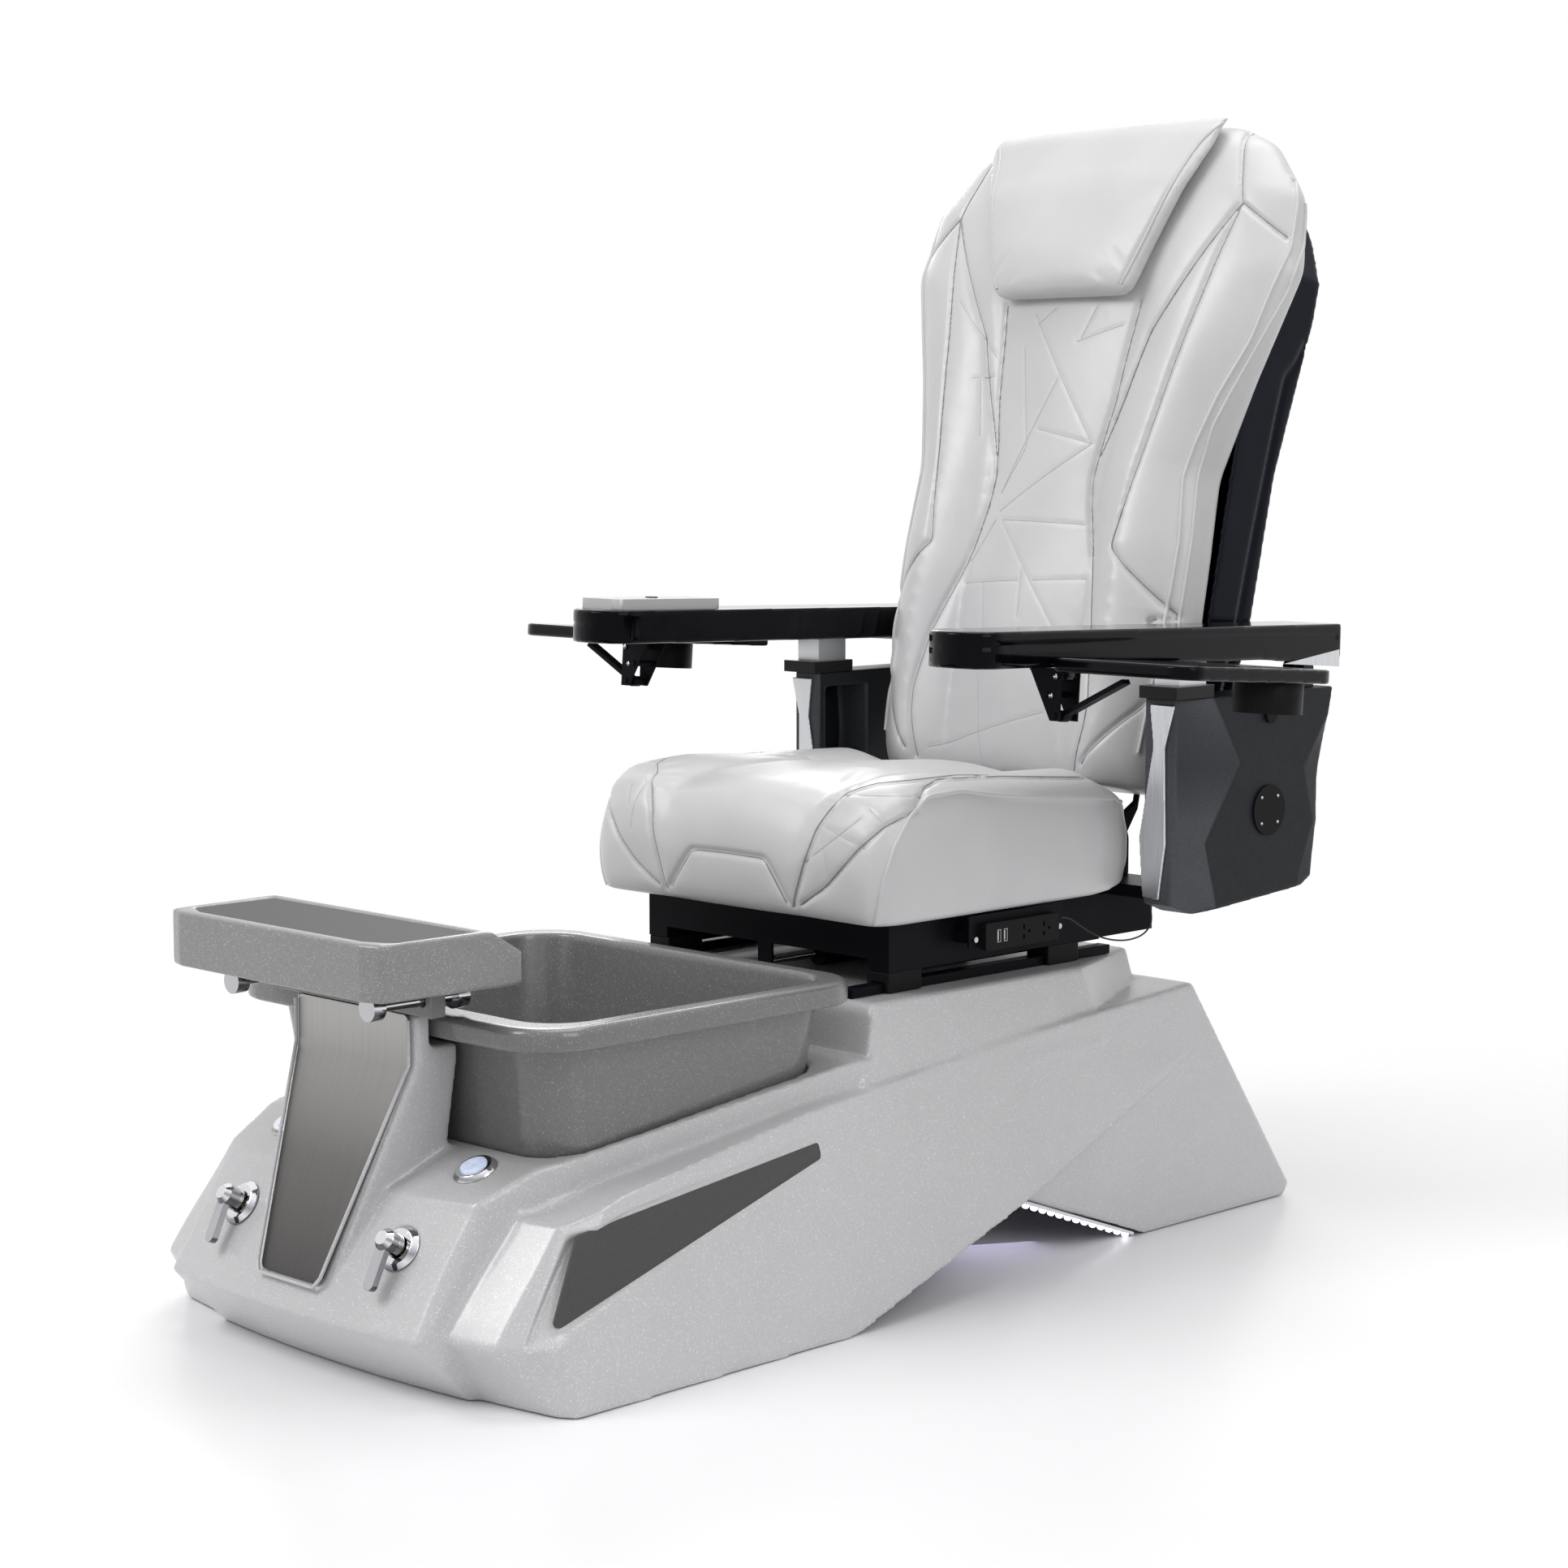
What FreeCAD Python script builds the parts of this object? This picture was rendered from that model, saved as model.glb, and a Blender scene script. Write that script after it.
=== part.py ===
import FreeCAD, Part
import math
import os
from types import SimpleNamespace

import Sketcher
from FreeCAD import Placement, Rotation, Vector

# Pedicure spa chair. X runs across, +X on the sitter's left; the sitter faces -Y; Z is up.
# The origin is on the floor under the middle of the chair's outline.

# Sizes in millimetres, angles in degrees, slopes as plain ratios.
SIZES = {
    # Clearances
    "gap": 0.4,
    "fit": 0.05,
    # Base shell
    "shell_wall": 6,
    "floor_half_width": 352,
    "side_lean": 0.2,
    "side_taper": 0.03,
    "taper_start_y": -444,
    "corner_floor_y": -669,
    "corner_nose_half": 299,
    "corner_cut": 52,
    "nose_height": 75,
    "rail_nose_y": -735,
    "rail_face_y": -640,
    "rail_bow": 32,
    "deck_half_front": 228,
    "deck_half_rear": 274,
    "deck_floor_y": -713,
    "deck_nose_y": -786,
    "deck_break_y": -702,
    "deck_break_height": 206,
    "deck_bow": 14,
    "deck_mid_y": -614,
    "deck_mid_height": 245,
    "deck_rear_y": -160,
    "deck_rear_height": 300,
    "arch_front_y": -219,
    "arch_top_y": 115,
    "arch_height": 97,
    "rear_foot_y": 383,
    "heel_y": 687,
    "heel_height": 16,
    "heel_step": 10,
    "rear_foot_half": 278,
    "rear_top_y": 478,
    "rear_top_height": 319,
    "fold_y": 503,
    "fold_height": 231,
    "shoulder_front_y": -634,
    "shoulder_front_height": 203,
    "shoulder_mid_y": -248,
    "shoulder_mid_height": 260,
    "shoulder_rear_y": 255,
    "shoulder_rear_height": 301,
    "plateau_height": 358,
    "plateau_half": 245,
    "plateau_front_y": -92,
    "plateau_side_y": 288,
    "plateau_rear_half": 185,
    "plateau_rear_y": 453,
    "plateau_skirt": 40,
    # Pedestal and its steel panel
    "panel_low_height": 108,
    "panel_low_y": -769,
    "panel_upright": 56,
    "panel_kink_y": -678,
    "panel_stand": 1,
    "panel_half_low": 54,
    "panel_half_high": 100,
    "panel_sheet": 3,
    "pedestal_lip": 10,
    "pedestal_upper_depth": 24,
    "pedestal_notch_room": 9,
    # Side plates
    "side_plate_low_y": -672,
    "side_plate_low_height": 100,
    "side_plate_high_y": -622,
    "side_plate_high_height": 186,
    "side_plate_tip_y": -240,
    "side_plate_tip_height": 217,
    "side_plate_thick": 3,
    "side_recess": 5,
    # Arch lamps
    "lamp_strip_width": 10,
    "lamp_strip_thick": 4,
    "lamp_strip_length": 250,
    "lamp_count": 14,
    "lamp_radius": 4,
    # Foot basin
    "basin_half_width": 262,
    "basin_front_y": -612,
    "basin_rear_y": -164,
    "basin_draft": 22,
    "basin_wall": 6,
    "basin_floor_height": 214,
    "basin_corner": 60,
    "rim_rise": 42,
    "rim_drop": 27,
    "rim_reach": 26,
    "rim_front_reach": 37,
    "drain_radius": 36,
    "drain_lift": 3,
    "drain_y": -390,
    "drain_tail": 60,
    "jet_height": 262,
    "jet_radius": 38,
    "jet_cover_depth": 16,
    "impeller_radius": 27,
    "jet_shaft_radius": 4,
    "jet_motor_length": 52,
    "jet_motor_radius": 29,
    # Taps and deck buttons
    "tap_x": 145,
    "tap_height": 158,
    "tap_flange_radius": 27,
    "tap_flange_thick": 7,
    "tap_stem_radius": 8,
    "tap_hub_radius": 13,
    "tap_hub_length": 24,
    "tap_lever_length": 58,
    "tap_lever_width": 15,
    "tap_lever_thick": 8,
    "tap_valve_radius": 15,
    "tap_valve_length": 45,
    "button_x": 167,
    "button_y": -640,
    "button_flange_radius": 26,
    "button_flange_thick": 6,
    "button_cap_radius": 15,
    "button_stand": 3,
    "button_travel": 2.5,
    "button_barrel": 26,
    # Footrest
    "footrest_half_width": 200,
    "footrest_depth": 195,
    "footrest_slope": 42,
    "footrest_drop": 26,
    "footrest_overhang": 114,
    "footrest_clearance": 36,
    "footrest_height": 63,
    "footrest_corner": 34,
    "footrest_wall": 6,
    "footrest_pad_inset": 16,
    "footrest_pad_depth": 4,
    "footrest_rod_x": 124,
    "footrest_rod_radius": 6,
    "footrest_boss_radius": 14,
    "footrest_boss_length": 16,
    "footrest_rod_rise": 19,
    "footrest_rod_setback": 40,
    "footrest_rod_pitch": 116,
    "carrier_half_width": 140,
    "carrier_depth": 22,
    "control_box_left": 60,
    "control_box_right": 90,
    "control_box_front_y": 120,
    "control_box_length": 140,
    "control_box_height": 70,
    # Slide rails and seat frame
    "rail_x": 195,
    "rail_width": 20,
    "rail_thick": 12,
    "rail_front_y": -88,
    "rail_rear_y": 395,
    "shoe_length": 60,
    "shoe_wall": 8,
    "shoe_rear_y": 262,
    "frame_clearance": 26,
    "frame_height": 56,
    "frame_half_width": 214,
    "frame_front_y": -34,
    "frame_rear_y": 470,
    "frame_tube": 34,
    "frame_mid_y": 290,
    "cross_lift": 14,
    "beam_thick": 16,
    "upright_height": 60,
    "upright_thick": 6,
    "actuator_radius": 16,
    "actuator_rod_radius": 6,
    "actuator_front_y": 60,
    "actuator_rear_y": 330,
    # Seat cushion
    "seat_half_width": 262,
    "seat_lift": 6,
    "seat_thick": 166,
    "seat_front_y": -101,
    "seat_rear_y": 372,
    "channel_x": 128,
    "channel_drop": 14,
    "bolster_rise": 4,
    # Power plate and strip
    "plate_x": 240,
    "plate_front_y": 78,
    "plate_rear_y": 254,
    "plate_lift": 4,
    "plate_height": 40,
    "plate_thick": 3,
    "strip_front_y": 98,
    "strip_rear_y": 236,
    "strip_drop": 10,
    "strip_height": 34,
    "strip_thick": 10,
    "socket_width": 21,
    "socket_height": 26,
    "strip_screw_radius": 3.5,
    "lead_diameter": 2.2,
    # Armrest side panels
    "side_panel_inner": 290,
    "side_panel_outer": 350,
    "side_panel_front_y": 352,
    "side_panel_rear_y": 676,
    "side_panel_drop": 16,
    "side_panel_height": 276,
    "trim_thick": 4,
    "disc_y": 536,
    "disc_rise": 123,
    "disc_radius": 33,
    "disc_thick": 3,
    "cap_drop": 29,
    "cap_radius": 11,
    "arm_bracket_front_y": 372,
    "arm_bracket_rear_y": 452,
    # Armrest posts
    "post_x": 318,
    "post_y": 384,
    "collar_half_width": 30,
    "collar_half_depth": 38,
    "collar_thick": 16,
    "band_half_width": 20,
    "ear_gap": 14,
    "ear_thick": 10,
    "ear_radius": 11,
    "arm_pin_radius": 6,
    # Armrest pads
    "arm_half_width": 50,
    "arm_front_y": -55,
    "arm_rear_y": 666,
    "arm_thick": 44,
    "arm_hinge_y": 640,
    "arm_hinge_rise": 24,
    "arm_hinge_drop": 16,
    "arm_tilt": 1.6,
    "wedge_length": 180,
    "wedge_width": 8,
    "wedge_drop": 12,
    # Manicure trays
    "tray_inner_x": 387,
    "tray_outer_x": 587,
    "tray_front_y": 64,
    "tray_rear_y": 356,
    "tray_thick": 17,
    "tray_corner": 30,
    "tray_tilt": 4,
    "tray_rise": 13.9,
    "cup_x": 533,
    "cup_y": 289,
    "cup_radius": 42,
    "cup_wall": 4,
    "cup_depth": 38,
    "bracket_front_y": 79,
    "bracket_depth": 36,
    "bracket_reach": 50,
    "bracket_drop": 62,
    "tray_pin_radius": 3,
    "tray_eye_radius": 6,
    "tray_eye_width": 16,
    "bracket_sheet": 3,
    "strut_width": 14,
    "strut_thick": 6,
    "strut_reach": 84,
    "strut_pin_radius": 4,
    # Remote control
    "remote_half_width": 38,
    "remote_front_y": -30,
    "remote_length": 190,
    "remote_thick": 14,
    "key_size": 13,
    "key_stand": 2,
    "key_travel": 1,
    # Backrest, measured along the back from the recline hinge
    "hinge_y": 430,
    "hinge_rise": 60,
    "back_tilt": 13.1,
    "cushion_front": -56,
    "cushion_rear": 38,
    "back_low": 66,
    "back_high": 964,
    "waist_half": 248,
    "wing_half": 330,
    "crown_fall": 44,
    "seam_setback": 18,
    "bolster_reach": 84,
    "back_plate_thick": 4,
    "back_plate_half": 205,
    "back_plate_high": 880,
    "back_upright_width": 50,
    "roller_x": 54,
    "lug_x": 170,
    "lug_thick": 8,
    "lug_radius": 24,
    "hinge_pin_radius": 9,
    "shell_half_width": 245,
    "shell_low": 96,
    "shell_high": 915,
    "shell_low_room": 32,
    "shell_ridge_room": 71.87,
    "shell_peak": 850,
    "back_shell_wall": 5,
    "pillow_low": 716,
    "pillow_high": 972,
    "pillow_thick": 58,
    "pillow_half_low": 112,
    "pillow_half_high": 208,
    "massage_rail_x": 78,
    "massage_rail_radius": 7,
    "massage_depth": 102,
    "massage_low": 190,
    "massage_high": 800,
    "massage_half_height": 52,
    "roller_radius": 24,
    "roller_thick": 22,
    "roller_spread": 36,
    "axle_radius": 4,
    "motor_radius": 30,
    "motor_length": 90,
}

os.makedirs("parts", exist_ok=True)
doc = FreeCAD.newDocument("pedicure_chair")
sheet = doc.addObject("Spreadsheet::Sheet", "Sizes")
for row, (name, number) in enumerate(SIZES.items(), start=1):
    sheet.set(f"A{row}", name)
    sheet.set(f"B{row}", str(number))
    sheet.setAlias(f"B{row}", name)
doc.recompute()


class Size:
    """A number together with the sheet formula that gives it."""

    def __init__(self, number, formula):
        self.number = number
        self.formula = formula

    def __float__(self):
        return float(self.number)

    def __add__(self, other):
        other = as_size(other)
        return Size(self.number + other.number, f"({self.formula} + {other.formula})")

    def __sub__(self, other):
        other = as_size(other)
        return Size(self.number - other.number, f"({self.formula} - {other.formula})")

    def __mul__(self, other):
        other = as_size(other)
        return Size(self.number * other.number, f"({self.formula} * {other.formula})")

    def __truediv__(self, other):
        other = as_size(other)
        return Size(self.number / other.number, f"({self.formula} / {other.formula})")

    def __neg__(self):
        return Size(-self.number, f"(0 - {self.formula})")

    def __radd__(self, other):
        return as_size(other) + self

    def __rsub__(self, other):
        return as_size(other) - self

    def __rmul__(self, other):
        return as_size(other) * self


def as_size(number):
    if isinstance(number, Size):
        return number
    return Size(number, f"({number})" if number < 0 else str(number))


def tangent(angle):
    return Size(math.tan(math.radians(angle.number)), f"tan({angle.formula} * 1 deg)")


at = SimpleNamespace(**{name: Size(float(sheet.get(name)), f"Sizes.{name}") for name in SIZES})
mm = SimpleNamespace(**{name: float(getattr(at, name)) for name in SIZES})
nodes = []


def follow(name, size):
    """Names a height that follows from the pieces below it."""
    setattr(at, name, size)
    setattr(mm, name, float(size))


# Heights up the chair: plinth, basin rim, panel, frame, seat, backrest hinge and armrest panels
follow("rim_height", at.plateau_height + at.rim_rise)
follow("panel_top_height", at.rim_height + at.panel_stand)
follow("panel_kink_height", at.panel_top_height - at.panel_upright)
follow("pedestal_notch_height", at.rim_height - at.rim_drop - at.pedestal_notch_room)
follow("frame_under", at.plateau_height + at.frame_clearance)
follow("frame_top", at.frame_under + at.frame_height)
follow("seat_under", at.frame_top + at.seat_lift)
follow("seat_top", at.seat_under + at.seat_thick)
follow("plate_high", at.frame_top + at.plate_lift)
follow("plate_low", at.plate_high - at.plate_height)
follow("strip_high", at.plate_high - at.strip_drop)
follow("strip_low", at.strip_high - at.strip_height)
follow("hinge_height", at.frame_top + at.hinge_rise)
follow("side_panel_low", at.frame_top - at.side_panel_drop)
follow("side_panel_high", at.side_panel_low + at.side_panel_height)
follow("disc_height", at.side_panel_low + at.disc_rise)
follow("cap_height", at.side_panel_high - at.cap_drop)


def bind(thing, prop, size):
    thing.setExpression(prop, as_size(size).formula)


def keep(label, thing):
    """Names a finished sub-part, so that it is written to its own file."""
    thing.Label = label
    nodes.append(thing)
    return thing


def block(name, low, high):
    box = doc.addObject("Part::Box", name)
    for prop, axis, start, end in zip(("Length", "Width", "Height"), "xyz", low, high):
        bind(box, prop, as_size(end) - start)
        bind(box, f"Placement.Base.{axis}", start)
    return box


TURNS = {
    "x": Rotation(Vector(0, 1, 0), 90),
    "y": Rotation(Vector(1, 0, 0), -90),
    "z": Rotation(),
}


def rod(name, radius, start, axis, length):
    """A round bar from start along +X, +Y or +Z."""
    bar = doc.addObject("Part::Cylinder", name)
    bar.Placement = Placement(Vector(), TURNS[axis])
    bind(bar, "Radius", radius)
    bind(bar, "Height", length)
    for letter, place in zip("xyz", start):
        bind(bar, f"Placement.Base.{letter}", place)
    return bar


def fuse(name, pieces):
    whole = doc.addObject("Part::MultiFuse", name)
    whole.Shapes = pieces
    return whole


def cut(name, base, tool):
    result = doc.addObject("Part::Cut", name)
    result.Base = base
    result.Tool = tool
    return result


def common(name, base, tool):
    result = doc.addObject("Part::Common", name)
    result.Base = base
    result.Tool = tool
    return result


def group(name, pieces):
    bundle = doc.addObject("Part::Compound", name)
    bundle.Links = pieces
    return bundle


def mirrored(name, piece):
    other = doc.addObject("Part::Mirroring", name)
    other.Source = piece
    other.Base = Vector()
    other.Normal = Vector(1, 0, 0)
    return other


def both_sides(name, piece):
    return group(name, [piece, mirrored(name + "_other", piece)])


def add_outline(sketch, corners):
    """Draws a closed outline whose corners are each held by two bound dimensions."""
    points = [Vector(float(across), float(up), 0) for across, up in corners]
    count = len(points)
    for index, point in enumerate(points):
        sketch.addGeometry(Part.LineSegment(point, points[(index + 1) % count]), False)
    for index in range(count):
        sketch.addConstraint(Sketcher.Constraint("Coincident", index, 2, (index + 1) % count, 1))
    for index, (across, up) in enumerate(corners):
        for kind, size in (("DistanceX", across), ("DistanceY", up)):
            link = sketch.addConstraint(Sketcher.Constraint(kind, -1, 1, index, 1, float(size)))
            bind(sketch, f"Constraints[{link}]", size)


def prism(name, plane, corners, low, high, round_by=None, round_where=None):
    """A padded outline on an origin plane, from low to high along the plane's axis."""
    body = doc.addObject("PartDesign::Body", name)
    sketch = body.newObject("Sketcher::SketchObject", name + "_outline")
    support = next(part for part in body.Origin.OriginFeatures if part.Role == plane)
    sketch.AttachmentSupport = [(support, "")]
    sketch.MapMode = "FlatFace"
    add_outline(sketch, corners)
    start = -as_size(high) if plane == "XZ_Plane" else as_size(low)
    bind(sketch, "AttachmentOffset.Base.z", start)
    pad = body.newObject("PartDesign::Pad", name + "_pad")
    pad.Profile = sketch
    bind(pad, "Length", as_size(high) - low)
    body.Tip = pad
    if round_by is not None:
        doc.recompute()
        normal = {
            "XY_Plane": Vector(0, 0, 1),
            "XZ_Plane": Vector(0, 1, 0),
            "YZ_Plane": Vector(1, 0, 0),
        }[plane]
        chosen = [
            f"Edge{number}"
            for number, edge in enumerate(pad.Shape.Edges, start=1)
            if abs(edge.tangentAt(edge.FirstParameter).dot(normal)) > 0.99
            and (round_where is None or round_where(edge.CenterOfMass))
        ]
        fillet = body.newObject("PartDesign::Fillet", name + "_round")
        fillet.Base = (pad, chosen)
        bind(fillet, "Radius", round_by)
        body.Tip = fillet
    return body


def solid(name, shape, placement=None):
    """A piece whose shape is made directly from the sheet's values."""
    feature = doc.addObject("Part::Feature", name)
    feature.Shape = shape
    if placement is not None:
        feature.Placement = placement
    return feature


def polygon_wire(points):
    return Part.makePolygon(points + [points[0]])


def slab(points, direction):
    return Part.Face(polygon_wire(points)).extrude(direction)


def side_prism(corners, half):
    """A prism across the chair from an outline of (y, z) corners."""
    return slab([Vector(-half, y, z) for y, z in corners], Vector(2 * half, 0, 0))


def lathe(profile, axis_turn=None):
    """Turns an outline of (radius, height) corners about Z."""
    face = Part.Face(polygon_wire([Vector(radius, 0, height) for radius, height in profile]))
    shape = face.revolve(Vector(), Vector(0, 0, 1), 360)
    if axis_turn is not None:
        shape = shape.transformed(Placement(Vector(), axis_turn).toMatrix())
    return shape


def rounded_rectangle(half_width, front, rear, corner, height):
    """A flat closed outline at one height, with a quarter round at each corner."""
    edges = []
    centres = [
        (half_width - corner, rear - corner, 0),
        (-half_width + corner, rear - corner, 90),
        (-half_width + corner, front + corner, 180),
        (half_width - corner, front + corner, 270),
    ]
    ends = []
    for x, y, turn in centres:
        points = []
        for step in (0, 45, 90):
            angle = math.radians(turn + step)
            points.append(Vector(x + corner * math.cos(angle), y + corner * math.sin(angle), height))
        ends.append(points)
    for index, points in enumerate(ends):
        edges.append(Part.Arc(*points).toShape())
        edges.append(Part.LineSegment(points[2], ends[(index + 1) % 4][0]).toShape())
    return Part.Wire(edges)


# Base shell


def side_half(y, z):
    """Half width of the leaning, tapering side facet."""
    return mm.floor_half_width - mm.side_taper * (y - mm.taper_start_y) - mm.side_lean * z


def front_section(half, nose_y, bow, chamfer, rear_half, rear_y, height):
    """A plan outline with a bowed front, cut corners and straight sides."""
    corner_half, corner_y = chamfer
    tip = Vector(0, nose_y - bow, height)
    front = Part.Arc(Vector(-half, nose_y, height), tip, Vector(half, nose_y, height)).toShape()
    points = [
        Vector(half, nose_y, height),
        Vector(corner_half, corner_y, height),
        Vector(rear_half, rear_y, height),
        Vector(-rear_half, rear_y, height),
        Vector(-corner_half, corner_y, height),
        Vector(-half, nose_y, height),
    ]
    return Part.Wire([front] + Part.makePolygon(points).Edges)


def side_rail_form(wall):
    """The outer form with its leaning side facets; wall moves every face inwards."""
    top = mm.plateau_height
    stations = (
        (0, mm.floor_half_width - mm.corner_cut / 4, mm.corner_floor_y - 3, mm.rail_bow),
        (mm.nose_height, mm.corner_nose_half, mm.rail_nose_y, mm.rail_bow),
        (mm.deck_break_height, mm.corner_nose_half, mm.rail_face_y, mm.rail_bow),
        (top, mm.corner_nose_half - mm.corner_cut / 2, mm.rail_face_y + mm.corner_cut, mm.rail_bow),
    )
    wires = []
    rear_y = mm.fold_y + mm.plateau_skirt
    for height, half, nose_y, bow in stations:
        corner_y = nose_y + max(mm.corner_cut * height / mm.nose_height, mm.corner_cut / 4)
        corner_y = min(corner_y, nose_y + mm.corner_cut)
        corner_half = side_half(corner_y, height)
        wires.append(
            front_section(
                min(half, corner_half - 2) - wall,
                nose_y + wall,
                bow,
                (corner_half - wall, corner_y + wall),
                side_half(rear_y, height) - wall,
                rear_y - wall,
                height,
            )
        )
    hull = Part.makeLoft(wires, True, True)
    outline = [
        (2 * mm.deck_nose_y, -wall),
        (mm.arch_front_y - wall, -wall),
        (mm.arch_top_y, mm.arch_height + wall),
        (mm.fold_y - wall, mm.fold_height),
        (mm.rear_top_y - wall, mm.rear_top_height - wall),
        (mm.shoulder_rear_y, mm.shoulder_rear_height - wall),
        (mm.shoulder_mid_y, mm.shoulder_mid_height - wall),
        (mm.shoulder_front_y, mm.shoulder_front_height - wall),
        (2 * mm.deck_nose_y, mm.shoulder_front_height - wall),
    ]
    return hull.common(side_prism(outline, mm.floor_half_width + 100))


def rear_foot_form(wall):
    outline = [
        (mm.arch_top_y + wall, mm.arch_height + wall),
        (mm.rear_foot_y + wall, -wall),
        (mm.heel_y - wall, -wall),
        (mm.heel_y + mm.heel_step - wall, mm.heel_height),
        (mm.rear_top_y - wall, mm.rear_top_height - wall),
        (mm.shoulder_rear_y, mm.shoulder_rear_height - wall),
        (mm.shoulder_mid_y, mm.shoulder_mid_height - wall),
    ]
    return side_prism(outline, mm.rear_foot_half - wall)


def deck_form(wall):
    """The raised middle of the front: bowed face, break line and sloping deck."""
    top = mm.plateau_height
    beside_basin = mm.basin_half_width - basin_level(mm.deck_mid_height) + 2 * mm.shell_wall
    stations = (
        (0, mm.deck_floor_y + mm.deck_bow),
        (mm.nose_height, mm.deck_nose_y + mm.deck_bow),
        (mm.deck_break_height, mm.deck_break_y + mm.deck_bow),
        (top, mm.deck_break_y + mm.deck_bow + mm.plateau_skirt),
    )
    wires = []
    for height, nose_y in stations:
        corner = (beside_basin - wall, mm.basin_front_y + mm.basin_corner / 2 + wall)
        wires.append(
            front_section(
                mm.deck_half_front - wall,
                nose_y + wall,
                mm.deck_bow,
                corner,
                mm.deck_half_rear - wall,
                mm.deck_rear_y + mm.plateau_skirt,
                height,
            )
        )
    hull = Part.makeLoft(wires, True, True)
    outline = [
        (2 * mm.deck_nose_y, -wall),
        (mm.arch_front_y - wall, -wall),
        (mm.deck_rear_y, mm.arch_height / 3 + wall),
        (mm.deck_rear_y + mm.plateau_skirt, mm.arch_height / 2 + wall),
        (mm.deck_rear_y + mm.plateau_skirt, mm.deck_rear_height - wall),
        (mm.deck_rear_y, mm.deck_rear_height - wall),
        (mm.deck_mid_y, mm.deck_mid_height - wall),
        (mm.deck_break_y, mm.deck_break_height - wall),
        (2 * mm.deck_nose_y, mm.deck_break_height - wall),
    ]
    return hull.common(side_prism(outline, mm.floor_half_width))


def plateau_form(wall):
    """The raised seat plinth, drawn in at its rear corners."""
    low = mm.shoulder_mid_height
    drop = mm.plateau_height - low
    lower = [
        (mm.plateau_half + mm.plateau_skirt - wall, mm.plateau_front_y - mm.plateau_skirt * 1.5 + wall),
        (mm.plateau_half + mm.plateau_skirt - wall, mm.plateau_side_y),
        (mm.plateau_rear_half + 15 - wall, mm.plateau_rear_y + 20 - wall),
    ]
    upper = [
        (mm.plateau_half - wall, mm.plateau_front_y + wall),
        (mm.plateau_half - wall, mm.plateau_side_y),
        (mm.plateau_rear_half - wall, mm.plateau_rear_y - wall),
    ]
    wires = []
    for corners, height in ((lower, low - wall), (upper, low - wall + drop)):
        right = [Vector(x, y, height) for x, y in corners]
        left = [Vector(-x, y, height) for x, y in reversed(corners)]
        wires.append(polygon_wire(right + left))
    return Part.makeLoft(wires, True, True)


def pedestal_form():
    """The column behind the steel panel, wider at the top, notched for the basin rim."""
    half_low = mm.panel_half_low + mm.pedestal_lip
    half_high = mm.panel_half_high + mm.pedestal_lip
    front = mm.panel_sheet
    rear = mm.basin_front_y - 4
    upper_rear = mm.panel_kink_y + mm.pedestal_upper_depth
    stations = (
        (mm.panel_low_height - 8, half_low, mm.panel_low_y + front),
        (mm.panel_kink_height, half_high, mm.panel_kink_y + front),
        (mm.panel_top_height, half_high, mm.panel_kink_y + front),
    )
    wires = [
        polygon_wire([Vector(-h, y, z), Vector(h, y, z), Vector(h, rear, z), Vector(-h, rear, z)])
        for z, h, y in stations
    ]
    column = Part.makeLoft(wires, True, True)
    notch = Part.makeBox(
        2 * half_high + 20,
        rear - upper_rear + 10,
        mm.rim_height,
        Vector(-half_high - 10, upper_rear, mm.pedestal_notch_height),
    )
    return column.cut(notch)


def face_y(height):
    """Where the deck's front face lies at a height, on the middle line."""
    share = (height - mm.nose_height) / (mm.deck_break_height - mm.nose_height)
    return mm.deck_nose_y + share * (mm.deck_break_y - mm.deck_nose_y)


def deck_height(y):
    """Height of the front of the deck, where it slopes most, at a place along Y."""
    share = (y - mm.deck_break_y) / (mm.deck_mid_y - mm.deck_break_y)
    return mm.deck_break_height + share * (mm.deck_mid_height - mm.deck_break_height)


face_tilt = math.degrees(
    math.atan2(mm.deck_break_height - mm.nose_height, mm.deck_break_y - mm.deck_nose_y)
)
deck_tilt = math.degrees(
    math.atan2(mm.deck_mid_height - mm.deck_break_height, mm.deck_mid_y - mm.deck_break_y)
)
FACE_TURN = Rotation(Vector(1, 0, 0), face_tilt)
DECK_TURN = Rotation(Vector(1, 0, 0), deck_tilt)
tap_bow = mm.deck_bow * (mm.tap_x / mm.deck_half_front) ** 2
tap_swing = math.degrees(math.atan(2 * tap_bow / mm.tap_x))


def tap_place(side):
    """The deck's front face at a tap: Z out of the face, Y up it."""
    spot = Vector(side * mm.tap_x, face_y(mm.tap_height) + tap_bow, mm.tap_height)
    return Placement(spot, FACE_TURN.multiply(Rotation(Vector(0, 1, 0), side * tap_swing)))


def button_place(side):
    return Placement(Vector(side * mm.button_x, mm.button_y, deck_height(mm.button_y)), DECK_TURN)


def placed(shape, placement):
    return shape.transformed(placement.toMatrix(), copy=True)


def basin_level(height):
    """How far the basin's wall is drawn in at a height."""
    return mm.basin_draft * (mm.rim_height - height) / (mm.rim_height - mm.basin_floor_height)


def basin_outline(height, inset):
    """The basin's outer outline at a height, moved inwards by an inset."""
    inward = basin_level(height) + inset
    return rounded_rectangle(
        mm.basin_half_width - inward,
        mm.basin_front_y + inward,
        mm.basin_rear_y - inward,
        mm.basin_corner - inset / 2,
        height,
    )


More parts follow.
